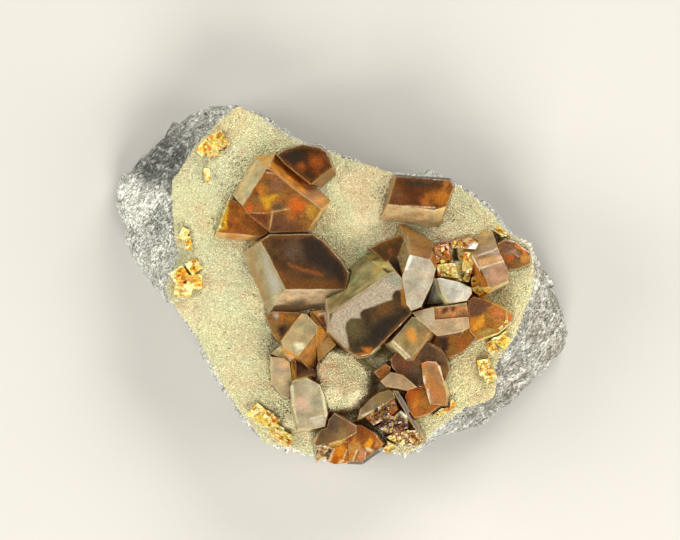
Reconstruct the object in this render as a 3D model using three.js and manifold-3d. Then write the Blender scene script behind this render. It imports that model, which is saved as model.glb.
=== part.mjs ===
// Barite on matrix: honey-brown barite crystals on a slab of grey rock whose front is coated
// with a cream crust of tiny crystals. The slab lies on its flat back, crystals up.
// Millimetres, +Z up; the origin is the centre of the base.
import * as THREE from "three";
import { ConvexGeometry } from "three/addons/geometries/ConvexGeometry.js";
import { mergeVertices } from "three/addons/utils/BufferGeometryUtils.js";
import Module from "manifold-3d";

const wasm = await Module();
wasm.setup();
const { lerp, smoothstep } = THREE.MathUtils;

// Driving dimensions
const rockTop = 18.7; // flat top of the rock, under the crust
const crustSurface = 21.2; // mean level of the crust's crystal face
const gap = 0.3; // clearance between pieces that touch
const widest = 5.5; // level where the rock is widest
const baseInset = 2.6; // how far the flat base draws in from the widest outline
const crystalRoot = 19.3; // lowest level of a crystal where it hangs over the crust's rim
const steep = 0.07; // how far a crystal's side leans out for each mm of drop, unless stated
const stubHeight = 1.3; // how far a broken stub stands up from the crust
const spokes = 90; // points round each ring of the rock and crust
const facetSpokes = 5; // spokes to one broken facet of the rock's flank
const crustRings = 12;

// Plan outlines, clockwise seen from above
const rockOutline = [
  [-20.6, 36], [-22.6, 35.4], [-25, 35.4], [-28.8, 35], [-31.2, 33.4], [-33.8, 31.6], [-35.6, 29.6],
  [-38.8, 27], [-41, 25], [-43.6, 22], [-44.8, 20.2], [-45.8, 18.4], [-45.8, 16.4], [-44, 14],
  [-43.6, 10.8], [-43, 7.6], [-42, 5.2], [-40, 3], [-38, 0.6], [-35.4, -2.2], [-33, -4.4],
  [-29.8, -8.8], [-26.8, -14.2], [-23.8, -19.8], [-21.2, -24.6], [-18.2, -27.8], [-16.4, -30.8],
  [-15.2, -32], [-11.4, -32.4], [-7.8, -33.6], [-4.8, -34.4], [-2.2, -35.4], [0.8, -35.8],
  [3.8, -35.2], [5, -33.4], [8.2, -32.8], [10.6, -34], [13.4, -34.4], [16, -33], [17.4, -31.4],
  [22.2, -29.6], [27.8, -28.6], [29.2, -27.4], [33.2, -23.4], [37.4, -21], [42.4, -15.4],
  [45.4, -11.8], [46, -9.4], [44.8, -6.2], [43.6, -2.6], [41.4, 2.2], [39, 4.6], [38, 8.4],
  [37.4, 9.6], [34.4, 10.2], [32.6, 12], [30.2, 15.2], [26.4, 18.2], [22.8, 20.6], [17.8, 22.2],
  [11.2, 22.4], [8.8, 23], [4.4, 24.4], [0.8, 25.6], [-1.8, 26.8], [-3.8, 27.6], [-8.4, 29],
  [-10.2, 29.8], [-14, 32.2], [-17.6, 34.8],
];
const crustOutline = [
  [-20.8, 35.8], [-22.6, 34.4], [-24.2, 32.6], [-27.2, 29.8], [-29.6, 27], [-31.6, 23.8],
  [-33.8, 20.6], [-33.8, 18.6], [-33.4, 17], [-33.6, 14], [-33.2, 9], [-32, 6.2], [-33.8, 2.6],
  [-35.2, 0], [-34.2, -2.6], [-32.4, -4.8], [-29.4, -9], [-26.4, -14.2], [-23.4, -19.8],
  [-20.8, -24.4], [-17.8, -27.6], [-16, -30.6], [-14.8, -31.6], [-11.4, -32], [-7.8, -33.2],
  [-4.8, -34], [-2.2, -34.8], [0.8, -35.2], [3.8, -34.6], [5.8, -33], [8.2, -32.2], [10.6, -33.2],
  [13.4, -33.6], [15.8, -32.2], [17.4, -30.6], [19.2, -28.4], [21.4, -27], [23.4, -25.4],
  [25.4, -23.8], [27.8, -23.6], [30.4, -23.4], [31, -20], [30.8, -16.6], [32.2, -13.4],
  [34.4, -11], [35.6, -8], [36.6, -5.4], [37.6, -3], [38.4, -0.6], [38.6, 2], [38.6, 4.6],
  [37.6, 7.8], [37, 9.2], [34.2, 9.8], [32.2, 11.6], [29.8, 14.8], [26.2, 17.8], [22.6, 20.2],
  [17.8, 21.8], [11.2, 22], [8.8, 22.8], [4.4, 24.2], [0.8, 25.4], [-1.8, 26.6], [-3.8, 27.4],
  [-8.4, 28.6], [-10.2, 29.6], [-14, 32], [-17.6, 34.6],
];

// The rock's flank from the crust's edge down: share of the way out to the widest outline, level
const flank = [
  [0, rockTop], [0.14, 17.4], [0.28, 15.3], [0.5, 13.6], [0.7, 11], [0.91, 8.6], [1, widest],
];

// A barite crystal, cut from flat faces: the top face with its corners in plan, clockwise seen
// from above, its height at their middle and its slope in x and y, and a side face from each
// edge. A corner's third number is the lean of the edge that starts there. Further sides, in
// plan from one point to another, trim it.
const crystal = (height, tilt, corners, trims = []) => ({ height, tilt, corners, trims });

const upperLeftCluster = [
  // the wide wedge, with broad slanting sides to its upper left and upper right
  crystal(27.2, [-0.06, 0.1], [
    [-14.9, 23.2, 0.45], [-14.4, 23.3, 0.5], [-3.8, 15.2, 0.15], [-6.6, 10.8], [-14, 10.6],
    [-18.8, 14.4, 0.1], [-19.6, 15.8, 0.5],
  ]),
  // the dark one behind it
  crystal(25.6, [-0.08, -0.12], [
    [-13.2, 25.8], [-10.8, 27.2], [-7.6, 28], [-4.2, 27.6], [-2.8, 26.6], [-1.6, 23.6, 0.4],
    [-5.8, 20.2], [-8, 20.4], [-11.4, 24.4],
  ]),
  // the low one in front
  crystal(24.8, [0.06, -0.06], [
    [-22.2, 17], [-20.4, 17.8], [-18.2, 16], [-14.6, 14.8], [-13.6, 13.4], [-14.6, 10.4],
    [-15.8, 9.8, 0.35], [-24.6, 10.6, 0.15],
  ]),
];

const largeDarkCrystal = [
  crystal(27.8, [-0.12, -0.1], [
    [-15.8, 8.8], [-14, 10.2], [-5.6, 10.2], [-3.8, 9], [0, 5.2], [1.6, 2.6], [1, -0.8, 0.6],
    [-11, -0.8, 0.67],
  ]),
];

const upperRightCrystal = [
  crystal(26.8, [-0.04, -0.16], [
    [11, 21.8], [21.8, 21], [22.6, 19.8], [21, 15.8, 0.55], [18.6, 15, 0.6], [9.4, 16.2, 0.12],
  ]),
];

const centralCluster = [
  // the long flat crystal in the middle of the slab
  crystal(32, [0.05, 0.1], [
    [-2.3, -5.7, 0.5], [9.3, 2.3, 0.42], [11, 2.7], [12.8, 0.8], [14, -5.6], [7.8, -12],
    [6, -13.6], [3.4, -14.2], [1.6, -13], [-2.3, -9.4, 0.1],
  ]),
  crystal(27, [0.1, -0.1], [
    [5.4, 7], [7.8, 8.6], [12.2, 10], [13.8, 7], [12.2, 1.8], [9.4, 4.2], [6.2, 6.2],
  ]),
  // the tallest, with a long face up its back
  crystal(33, [-0.05, -0.15], [
    [13.6, 6.2, 0.56], [17.8, 5.2, 0.45], [18.8, 3.2], [18.4, 1], [16, -4.2], [14, -5],
    [13, -3.8], [12.2, 1.8, 0.4],
  ], [[13.6, 11.8, 18.3, 8.8], [18.3, 8.8, 19.2, 5.6], [19.2, 5.6, 18.9, 2.4]]),
  // a broken crystal: its stump, and the cleavage steps round a hole in the break
  crystal(28, [0.05, -0.05], [
    [18.4, 7.8], [25.8, 9.8], [27.8, 8.6], [26.6, 4.6], [25.8, 0.6], [19, 1.6],
  ]),
  crystal(29.6, [0.12, -0.1], [[18.6, 7.7], [21.5, 8.4], [21.9, 5.2], [19, 4.4]]),
  crystal(29.9, [-0.1, 0.15], [[21.8, 8.5], [25.8, 9.6], [27.4, 8.4], [26.8, 7.2], [22.2, 7.4]]),
  crystal(29.7, [0.05, 0.12], [[19.1, 4.2], [22.8, 4.6], [23.4, 1.4], [19.3, 1.8]]),
  crystal(29.2, [-0.2, 0.05], [[24.4, 6.7], [26.8, 6.6], [26, 2.4], [24.1, 3]]),
  // the white-fronted one beside it and the ledge below, with a broken window in its top
  crystal(31.2, [0.08, -0.12], [
    [19.2, 1.4], [21.2, 1.6], [23, 0.8], [25.8, 0.2], [26, -1.6], [25, -3], [21.4, -3.6, 0.3],
    [20, -1.4, 0.3],
  ]),
  crystal(30.6, [0.03, -0.14], [
    [14.2, -5.4], [17.8, -4.4], [25, -3.4], [25.6, -8.4], [24.2, -9.2], [19.2, -10], [15.8, -7.2],
  ]),
  // the square one against the long crystal's end
  crystal(31, [-0.12, -0.12], [
    [14.2, -6.2], [16, -6.6], [18.4, -8.4, 0.2], [14, -14.4, 0.15], [13.2, -14.4, 0.15],
    [10, -11.2],
  ]),
  // amber ones at the right
  crystal(27.6, [-0.12, 0.05], [
    [25.3, -3, 0.1], [26.4, -2.2, 0.2], [29, -2.9, 0.15], [31.8, -4.5, 0.1], [34.3, -5.8],
    [33.9, -7.2], [31.3, -9.5], [27.3, -10.8], [25.6, -9],
  ]),
  crystal(25, [-0.05, 0.1], [
    [18.4, -11.4], [19.2, -9.8], [25.4, -8.2], [27.4, -10.2], [24.2, -13.4], [21.8, -14.6],
    [19.8, -13.4],
  ]),
  // the dark dome, the upright bar in front of it and the low ones at its foot
  crystal(28, [-0.12, 0.08], [
    [10, -14.6], [11.4, -12.8], [14.8, -11.6], [17.8, -11.4], [19.8, -12.4], [21.2, -14.4],
    [21.8, -17], [20.8, -19], [15.8, -20.2], [11.8, -18.2], [10.2, -16.2],
  ]),
  crystal(29.6, [-0.12, -0.2], [
    [16, -15.4], [17.2, -15], [19, -15.2], [19.8, -16.2], [21.2, -22], [21, -23.6],
    [17.8, -23.8], [16.4, -19],
  ]),
  crystal(27, [0.1, -0.15], [
    [12.8, -22], [13.8, -20.2], [16.6, -18.6], [19, -20], [21, -23], [17.8, -25.4],
    [14.6, -26.4], [13.4, -24.6],
  ]),
  crystal(29.6, [0.2, -0.15], [
    [7.8, -19], [10, -17.2], [12.4, -17.8], [15.2, -20.2], [13.4, -20.8], [8.8, -20],
  ]),
  crystal(28, [0.1, 0.1], [[6.6, -17.2], [9, -15.6], [10, -16.2], [9.8, -17.4], [8, -18.8]]),
  // the pillar, with a long face up its back, and the small one at the rim
  crystal(31, [-0.2, -0.2], [
    [26.6, 5.8, 0.55], [31.2, 7.6], [33.4, 2.6], [33.2, 1], [30.2, -0.6, 0.2], [29.4, -0.2, 0.35],
  ], [[25.8, 9, 28.6, 11.2], [28.6, 11.2, 30.4, 10.8], [30.4, 10.8, 31.8, 7]]),
  crystal(26.8, [-0.15, -0.12], [
    [31.2, 8.4], [32.8, 9.2], [34.6, 8.8], [37.6, 6.6], [37.8, 4.4], [35.6, 3.4], [33.4, 3.2],
    [32.4, 4.6],
  ]),
];
// The broken window in the ledge's top: what is cut away above this level
const ledgeWindow = crystal(40, [0, 0], [[19.2, -4.1], [24.6, -3.9], [24.7, -5.6], [19.3, -6]]);
const windowLevel = 30.2;

const leftCluster = [
  // the tile, whose lower right side is broad and slants
  crystal(28.6, [-0.1, -0.16], [
    [-7.8, -5.6], [-6.8, -5.8], [-4.6, -8, 0.1], [-4.8, -9.4, 0.55], [-8.6, -14, 0.2],
    [-11.6, -12.2], [-11.8, -11.2],
  ]),
  crystal(26.6, [-0.1, 0.1], [
    [-13.8, -14.2], [-11.4, -14.4], [-10, -15.4, 0.2], [-9.8, -19], [-9.6, -21], [-10.4, -22.4],
    [-11.4, -22.4], [-13.6, -19.8],
  ]),
  crystal(29, [-0.12, -0.2], [
    [-9.6, -19], [-6.6, -18.4], [-4.2, -19.8], [-3.2, -22.2], [-2.6, -25.4], [-3.2, -28],
    [-6, -28.6], [-8.4, -28.4], [-9.8, -23.4], [-10.2, -20.2],
  ]),
  crystal(25.2, [0.15, 0.1], [
    [-15, -6.2], [-13.6, -5.2], [-8.2, -5.4], [-9.4, -9], [-11.8, -11.6], [-13.2, -10.4],
  ]),
  crystal(25.8, [0.1, 0.1], [[-14, -13.6], [-11.6, -11.6], [-8.6, -13.8], [-10, -15.2]]),
];

const bottomCluster = [
  // a roof-like crystal whose near end is broken off
  crystal(27.4, [0, -0.22], [
    [-2.6, -27, 0.1], [-1.3, -25.4], [3.2, -27.9], [3.1, -29.2], [1.5, -30.3, 0.4],
    [-2.2, -31.4, 0.45], [-5, -32, 0.1], [-5.2, -31.3, 0.1], [-3.9, -28.7, 0.1],
  ]),
  crystal(26.2, [0.1, -0.2], [
    [2.8, -27.6, 0.1], [4.2, -27.8, 0.1], [7, -29.5, 0.1], [8.4, -31.4, 0.1], [7.5, -32.6, 0.1],
    [4.2, -35, 0.1], [1.8, -35, 0.1], [1.4, -30.6, 0.1],
  ]),
  // a flat face over a broken one that steps down from its ridge to the rim
  crystal(28.2, [0.3, -0.25], [
    [3.3, -26.8], [3.8, -24.8], [5.8, -22.7], [7.5, -21.2], [9.5, -20.7], [10.5, -21.2],
    [10.8, -22.4], [8.7, -23.7], [4.9, -26.2],
  ]),
  crystal(27.6, [-0.1, 0.12], [
    [4.9, -26.2], [8.6, -23.8], [10.7, -22.6], [11.4, -24.7], [9.6, -26.2], [6.6, -27.8],
  ]),
  crystal(26.3, [-0.15, 0.15], [
    [6.5, -27.8], [9.6, -26.2], [11.6, -24.6], [13.3, -25.9], [13.5, -28.4], [9.4, -29.5],
  ]),
  crystal(24.8, [-0.15, 0.2], [
    [7.3, -29.2], [11, -29], [13.5, -27.4], [15.3, -28.4], [16.6, -31], [15.4, -31.9],
    [11.4, -31.6],
  ]),
  // the thin rib along its right
  crystal(27.4, [0.1, 0.28], [
    [10.4, -20.9], [11.3, -21], [13.1, -23.7], [15.1, -27.5], [16.8, -31], [14.8, -28.4],
    [12.9, -25.3],
  ], [[17.4, -30.8, 15.9, -32]]),
];

const clusters = {
  upper_left_cluster: upperLeftCluster,
  large_dark_crystal: largeDarkCrystal,
  upper_right_crystal: upperRightCrystal,
  central_cluster: centralCluster,
  left_cluster: leftCluster,
  bottom_cluster: bottomCluster,
};

// A crystal that the crust has grown over: one lump of the crust itself
const coatedCrystal = crystal(24.6, [-0.05, -0.1], [
  [-4.2, -16, 0.2], [-2.4, -13.2, 0.3], [2.2, -13.8, 0.5], [5.2, -17.4, 0.5], [5.4, -21.4, 0.5],
  [1.8, -24, 0.4], [-1.8, -24.6, 0.4], [-3.8, -22.6, 0.25],
]);

// Broken remains of yellow crystals: each is a few tilted blocks, [x, y, width, depth, turn]
const stubs = {
  stub_top_left: [
    [-24.6, 28.8, 3.2, 3.4, 0.5], [-27.2, 27.6, 3.2, 2, 0.9], [-25.4, 26.8, 2.4, 2.2, 0.2],
  ],
  stub_small: [[-26.8, 22.2, 1.2, 2.6, 0.1]],
  stub_left_edge: [[-31.4, 10.4, 1.6, 2.4, -0.4], [-30.4, 8.4, 1.4, 2.6, 0.2]],
  stub_left: [
    [-29.4, 3.8, 2.6, 2.6, 0.6], [-32, 2, 3.2, 3, 0.6], [-29, 0.6, 3, 2.8, 0.1],
    [-31.4, -1, 3.6, 2.4, -0.1],
  ],
  stub_lower_left: [
    [-16.4, -25.4, 3.2, 3, -0.7], [-14.2, -27, 3.2, 2.8, -0.7], [-12.8, -29.2, 2.4, 2.2, -0.6],
    [-11.2, -30.6, 3, 2, -0.5],
  ],
  stub_right: [
    [32, -8.8, 2.2, 2.2, 0.5], [32.2, -11, 3.4, 2.4, -0.6], [30.4, -12.4, 1.8, 2.2, 0.4],
  ],
  stub_right_low: [[28.6, -16.2, 2.6, 3, 0.2], [29.8, -18, 2.4, 2.4, 0.5]],
  stub_bottom: [[19.8, -25.2, 3.6, 1.5, 0.6], [22.2, -23.8, 1.8, 1.4, 0.7]],
  stub_bottom_rim: [[9.6, -32.1, 2.4, 2.4, 0.7]],
  stub_upper_right: [[32.2, 10.6, 3.2, 1.4, -0.7], [34.8, 8.9, 2, 1.2, -0.5]],
};

// A repeatable random number from 0 to 1
function hash(i, j, k) {
  const s = Math.sin(i * 127.1 + j * 311.7 + k * 74.7) * 43758.5453;
  return s - Math.floor(s);
}

// Smooth noise from -1 to 1
function noise(x, y, seed) {
  const [i, j] = [Math.floor(x), Math.floor(y)];
  const [s, t] = [smoothstep(x - i, 0, 1), smoothstep(y - j, 0, 1)];
  const row = (k) => lerp(hash(i, k, seed), hash(i + 1, k, seed), s);
  return 2 * lerp(row(j), row(j + 1), t) - 1;
}

// Broken stone: from -1 to 1, straight between random levels a few spokes apart
function facet(spoke, ringNumber) {
  const at = (spoke + 2 * ringNumber) / facetSpokes;
  const level = (k) => hash(k % (spokes / facetSpokes), ringNumber, 4);
  return 2 * lerp(level(Math.floor(at)), level(Math.floor(at) + 1), at % 1) - 1;
}

// How far out an outline lies in the direction of an angle, from the plan's centre
function reach(outline, angle) {
  const [dx, dy] = [Math.cos(angle), Math.sin(angle)];
  let far = 0;
  outline.forEach(([ax, ay], n) => {
    const [bx, by] = outline[(n + 1) % outline.length];
    const [ex, ey] = [bx - ax, by - ay];
    const turn = dx * ey - dy * ex;
    const along = (ax * ey - ay * ex) / turn;
    const share = (ax * dy - ay * dx) / turn;
    if (along > 0 && share >= 0 && share <= 1) far = Math.max(far, along);
  });
  return far;
}

const angles = Array.from({ length: spokes }, (_, n) => (n / spokes) * 2 * Math.PI);
const rockReach = angles.map((a) => reach(rockOutline, a));
const crustReach = angles.map((a) => reach(crustOutline, a));

const ring = (radius, level) =>
  angles.map((a, n) => [radius(n) * Math.cos(a), radius(n) * Math.sin(a), level(n)]);

// A closed mesh from rings of points, the first at the top, closed by a fan at each end
function skin(rings, topCentre, baseCentre) {
  const points = [...rings.flat(), topCentre, baseCentre];
  const [top, base] = [points.length - 2, points.length - 1];
  const lastRing = (rings.length - 1) * spokes;
  const index = [];
  for (let n = 0; n < spokes; n++) {
    const next = (n + 1) % spokes;
    index.push(top, n, next);
    for (let r = 0; r + 1 < rings.length; r++) {
      const [a, b] = [r * spokes + n, r * spokes + next];
      index.push(a, a + spokes, b, b, a + spokes, b + spokes);
    }
    index.push(base, lastRing + next, lastRing + n);
  }
  const geometry = new THREE.BufferGeometry();
  geometry.setAttribute("position", new THREE.Float32BufferAttribute(points.flat(), 3));
  geometry.setIndex(index);
  return geometry;
}

// The grey rock: broken flanks with ledges, a flat top under the crust and a flat base.
// grow makes it that much larger, for cutting what rests on it.
function rockGeometry(grow = 0) {
  const roughness = 1.2;
  const rings = flank.map(([share, level], r) => {
    const wall = (n) => rockReach[n] - crustReach[n];
    const free = r > 0 && share < 1;
    const bump = (n) => (free ? roughness * facet(n, r) : 0);
    return ring(
      (n) => crustReach[n] + share * wall(n) + grow + Math.min(0, bump(n) - 0.2 * free),
      (n) => level + grow + bump(n) * Math.min(1, wall(n) / 4),
    );
  });
  const [footLevel, footInset] = [2.6, 0.5];
  rings.push(ring((n) => rockReach[n] - footInset + 0.4 * facet(n, 8) + grow, () => footLevel));
  rings.push(ring((n) => rockReach[n] - baseInset + facet(n, 9) + grow, () => -grow));
  return skin(rings, [0, 0, rockTop + grow], [0, 0, -grow]);
}

// Level of the crust's face: gentle swells, falling away at its rim
function crustLevel(x, y, share) {
  const swell = 0.55 * noise(x / 9 + 5, y / 9, 0) + 0.25 * noise(x / 4, y / 4, 8);
  return crustSurface + swell - 1.1 * smoothstep(share, 0.86, 1);
}

function crustGeometry(grow = 0) {
  const rings = [];
  for (let r = 1; r <= crustRings; r++) {
    const share = Math.pow(r / crustRings, 0.8);
    const radius = (n) => share * crustReach[n] + (r === crustRings ? grow : 0);
    const level = (n) =>
      crustLevel(radius(n) * Math.cos(angles[n]), radius(n) * Math.sin(angles[n]), share) + grow;
    rings.push(ring(radius, level));
  }
  const underside = rockTop + gap - grow;
  rings.push(ring((n) => crustReach[n] + grow, () => underside));
  return skin(rings, [0, 0, crustLevel(0, 0, 0) + grow], [0, 0, underside]);
}

// The convex solid inside a set of planes: the corners where three meet, inside all the others
function insidePlanes(planes) {
  const close = 1e-4;
  const corners = [];
  const matrix = new THREE.Matrix3();
  planes.forEach((a, i) =>
    planes.slice(i + 1).forEach((b, j) =>
      planes.slice(i + j + 2).forEach((c) => {
        matrix.set(...[a, b, c].flatMap((plane) => plane.normal.toArray()));
        if (Math.abs(matrix.determinant()) < close) return;
        const point = new THREE.Vector3(-a.constant, -b.constant, -c.constant);
        point.applyMatrix3(matrix.invert());
        if (planes.every((plane) => plane.distanceToPoint(point) < close)) corners.push(point);
      }),
    ),
  );
  return new ConvexGeometry(corners);
}

// grow moves every face of a crystal out by that much; root is the level it goes down to
function crystalGeometry({ height, tilt, corners, trims }, grow = 0, root = crystalRoot) {
  const middle = (axis) => corners.reduce((sum, c) => sum + c[axis], 0) / corners.length;
  const [mx, my] = [middle(0), middle(1)];
  const onTop = ([x, y]) =>
    new THREE.Vector3(x, y, height + tilt[0] * (x - mx) + tilt[1] * (y - my));
  const through = (point, normal) =>
    new THREE.Plane().setFromNormalAndCoplanarPoint(normal.normalize(), point);

  // a side face through an edge of the outline; its outside is to the left of the way it runs
  const side = (from, to, lean) => {
    const edge = to.clone().sub(from);
    const outward = new THREE.Vector3(-edge.y, edge.x, 0).normalize();
    const down = outward.multiplyScalar(lean).setZ(-1);
    return through(from, edge.cross(down));
  };
  const planes = [
    through(onTop(corners[0]), new THREE.Vector3(-tilt[0], -tilt[1], 1)),
    new THREE.Plane(new THREE.Vector3(0, 0, -1), root),
    ...corners.map(([x, y, lean = steep], n) =>
      side(onTop([x, y]), onTop(corners[(n + 1) % corners.length]), lean),
    ),
    ...trims.map(([x1, y1, x2, y2]) =>
      side(new THREE.Vector3(x1, y1, root), new THREE.Vector3(x2, y2, root), 0),
    ),
  ];
  planes.forEach((plane) => (plane.constant -= grow));
  return insidePlanes(planes);
}

// One block of a broken stub, turned in plan and tipped a little
function blockGeometry([x, y, width, depth, turn], n) {
  const [tip, step] = [0.3, 0.12];
  const block = new THREE.BoxGeometry(width, depth, 2 * stubHeight);
  block.rotateX(tip * noise(n, 1, 1)).rotateY(tip * noise(n, 5, 2)).rotateZ(turn);
  return block.translate(x, y, crustLevel(x, y, 0.9) + step * n);
}

// To and from manifold-3d
function solid(geometry) {
  const bare = new THREE.BufferGeometry();
  bare.setAttribute("position", geometry.getAttribute("position"));
  bare.setIndex(geometry.index);
  const merged = mergeVertices(bare, 1e-4);
  return new wasm.Manifold(
    new wasm.Mesh({
      numProp: 3,
      vertProperties: merged.attributes.position.array,
      triVerts: new Uint32Array(merged.index.array),
    }),
  );
}

function meshOf(name, manifold, material) {
  const { vertProperties, triVerts } = manifold.getMesh();
  const geometry = new THREE.BufferGeometry();
  geometry.setAttribute("position", new THREE.BufferAttribute(vertProperties, 3));
  geometry.setIndex(new THREE.BufferAttribute(triVerts, 1));
  geometry.computeVertexNormals();
  const mesh = new THREE.Mesh(geometry, material);
  mesh.name = name;
  return mesh;
}

const join = (solids) => solids.reduce((whole, next) => whole.add(next));
const largest = (manifold) =>
  manifold.decompose().reduce((a, b) => (b.volume() > a.volume() ? b : a));

// Materials
const greyRock = new THREE.MeshStandardMaterial({ color: "#9c9c98", roughness: 0.9 });
const creamCrust = new THREE.MeshStandardMaterial({ color: "#cfc49a", roughness: 0.75 });
const honeyBarite = new THREE.MeshStandardMaterial({ color: "#8a4a17", roughness: 0.25 });
const yellowBarite = new THREE.MeshStandardMaterial({ color: "#dba63a", roughness: 0.4 });

const specimen = new THREE.Group();
specimen.add(meshOf("host_rock", solid(rockGeometry()), greyRock));

const lump = solid(crystalGeometry(coatedCrystal));
specimen.add(meshOf("drusy_crust", solid(crustGeometry()).add(lump), creamCrust));

// Each cluster clears the ground and the clusters before it, and each stub clears them all
let placed = join([
  solid(rockGeometry(gap)),
  solid(crustGeometry(gap)),
  solid(crystalGeometry(coatedCrystal, gap)),
]);
const window = solid(crystalGeometry(ledgeWindow, 0, windowLevel));
for (const [name, members] of Object.entries(clusters)) {
  const grown = join(members.map((member) => solid(crystalGeometry(member)))).subtract(window);
  specimen.add(meshOf(name, largest(grown.subtract(placed)), honeyBarite));
  const cleared = members.map((member) => solid(crystalGeometry(member, gap)));
  placed = join([placed, ...cleared]);
}
for (const [name, blocks] of Object.entries(stubs)) {
  const stub = join(blocks.map((block, n) => solid(blockGeometry(block, n))));
  specimen.add(meshOf(name, largest(stub.subtract(placed)), yellowBarite));
}

// The origin: the middle of the whole object's box, at its base
const box = new THREE.Box3().setFromObject(specimen);
const centre = box.getCenter(new THREE.Vector3());
specimen.position.set(-centre.x, -centre.y, -box.min.z);

export default specimen;
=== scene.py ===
import math
from collections import Counter

import bmesh
import bpy
import numpy as np
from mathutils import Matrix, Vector
from mathutils.bvhtree import BVHTree
from mathutils.geometry import delaunay_2d_cdt
from mathutils.kdtree import KDTree


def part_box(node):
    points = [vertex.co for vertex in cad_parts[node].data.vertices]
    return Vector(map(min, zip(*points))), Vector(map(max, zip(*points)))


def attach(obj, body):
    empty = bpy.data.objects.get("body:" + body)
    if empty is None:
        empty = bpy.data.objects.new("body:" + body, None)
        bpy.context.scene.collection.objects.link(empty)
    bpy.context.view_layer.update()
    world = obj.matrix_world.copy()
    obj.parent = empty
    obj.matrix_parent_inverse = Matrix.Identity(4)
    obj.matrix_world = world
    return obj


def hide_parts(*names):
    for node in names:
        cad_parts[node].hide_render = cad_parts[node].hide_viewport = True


# Barite on matrix, lying on its back: grey rock, a cream crust of tiny crystals, honey barite.
# Names that end in Mm hold millimetres, and so do the x and y of every place on the specimen.
mm = 0.001
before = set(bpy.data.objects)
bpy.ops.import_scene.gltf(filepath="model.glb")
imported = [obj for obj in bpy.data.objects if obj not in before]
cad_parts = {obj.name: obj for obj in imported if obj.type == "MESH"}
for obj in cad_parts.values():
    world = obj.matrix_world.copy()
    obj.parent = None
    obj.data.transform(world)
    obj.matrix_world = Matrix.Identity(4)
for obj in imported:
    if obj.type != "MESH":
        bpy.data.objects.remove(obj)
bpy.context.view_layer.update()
random = np.random.default_rng(23)


def linear(hexColour):  # sRGB hex to the linear values that Blender's sockets take
    parts = [int(hexColour[n : n + 2], 16) / 255 for n in (1, 3, 5)]
    return np.array([v / 12.92 if v <= 0.04045 else ((v + 0.055) / 1.055) ** 2.4 for v in parts])


def rgba(hexColour):
    return (*linear(hexColour), 1.0)


def addNode(tree, kind, inputs, output=0, **settings):  # adds a node, gives one of its outputs
    node = tree.nodes.new("ShaderNode" + kind)
    for name, value in settings.items():
        setattr(node, name, value)
    for name, value in inputs.items():
        if isinstance(value, bpy.types.NodeSocket):
            tree.links.new(value, node.inputs[name])
        else:
            node.inputs[name].default_value = value
    return node.outputs[output] if node.outputs else None


def newMaterial(name):
    material = bpy.data.materials.new(name)
    material.use_nodes = True
    material.node_tree.nodes.clear()
    return material, material.node_tree


def smoothStep(value, low, high):
    t = np.clip((value - low) / (high - low), 0, 1)
    return t * t * (3 - 2 * t)


def blendTo(colours, colour, share):  # colours moved towards one colour, by a share from 0 to 1
    return colours + (colour - colours) * np.clip(share, 0, 1)[:, None]


# Noise over space, for whole arrays of points at once


def latticeValue(i, j, k, seed):  # a repeatable number from 0 to 1 for each lattice corner
    n = (i * 73856093) ^ (j * 19349663) ^ (k * 83492791) ^ (seed * 7919 + 12345)
    n = ((n ^ (n >> 13)) * 1274126177) & 0xFFFFFFFF
    n = ((n ^ (n >> 15)) * 2246822519) & 0xFFFFFFFF
    return ((n ^ (n >> 16)) & 0xFFFF) / 65535


def valueNoise(points, sizeMm, seed):  # smooth, from -1 to 1
    scaled = points / (sizeMm * mm)
    cell = np.floor(scaled).astype(np.int64)
    t = scaled - cell
    t = t * t * (3 - 2 * t)
    total = np.zeros(len(points))
    for a in (0, 1):
        for b in (0, 1):
            for c in (0, 1):
                weight = np.abs(1 - a - t[:, 0]) * np.abs(1 - b - t[:, 1]) * np.abs(1 - c - t[:, 2])
                total += weight * latticeValue(cell[:, 0] + a, cell[:, 1] + b, cell[:, 2] + c, seed)
    return 2 * total - 1


def fractalNoise(points, sizeMm, octaves, seed):
    total = np.zeros(len(points))
    for n in range(octaves):
        total += valueNoise(points, sizeMm / 2**n, seed + n) / 2**n
    return total / 1.6  # so that it keeps to about -1 to 1


def cellNoise(points, sizeMm, seed):  # each cell's own number, how deep inside it, way to its seat
    scaled = points / (sizeMm * mm)
    cell = np.floor(scaled).astype(np.int64)
    nearest = np.full(len(points), 9.0)  # farther than any seat can be
    second = nearest.copy()
    value = np.zeros(len(points))
    offset = np.zeros((len(points), 3))
    for a in (-1, 0, 1):
        for b in (-1, 0, 1):
            for c in (-1, 0, 1):
                i, j, k = cell[:, 0] + a, cell[:, 1] + b, cell[:, 2] + c
                seat = [latticeValue(i, j, k, seed + n) for n in range(3)]
                away = np.stack([i + seat[0], j + seat[1], k + seat[2]], 1) - scaled
                gap = np.linalg.norm(away, axis=1)
                closer = gap < nearest
                second = np.where(closer, nearest, np.minimum(second, gap))
                value = np.where(closer, latticeValue(i, j, k, seed + 5), value)
                nearest = np.where(closer, gap, nearest)
                offset = np.where(closer[:, None], away, offset)
    return value, second - nearest, offset


# Meshes

down = Vector((0, 0, -1))
skyMm = 60  # rays that look for what shows from above start from here
weldMm = 0.03  # corners closer than this are one
sliverMm = 0.02  # and what is thinner than this counts as no face of its own


def getVectors(items, name):
    flat = np.empty(len(items) * 3, np.float32)
    items.foreach_get(name, flat)
    return flat.reshape(-1, 3).astype(float)


def setPoints(mesh, points):
    mesh.vertices.foreach_set("co", points.astype(np.float32).ravel())
    mesh.update()


def setAttribute(mesh, name, values, domain):  # one number or one colour for each item
    if values.ndim == 2:
        attribute = mesh.color_attributes.new(name, "FLOAT_COLOR", domain)
        full = np.concatenate([values, np.ones((len(values), 1))], 1)
        attribute.data.foreach_set("color", full.astype(np.float32).ravel())
    else:
        attribute = mesh.attributes.new(name, "FLOAT", domain)
        attribute.data.foreach_set("value", values.astype(np.float32))


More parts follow.
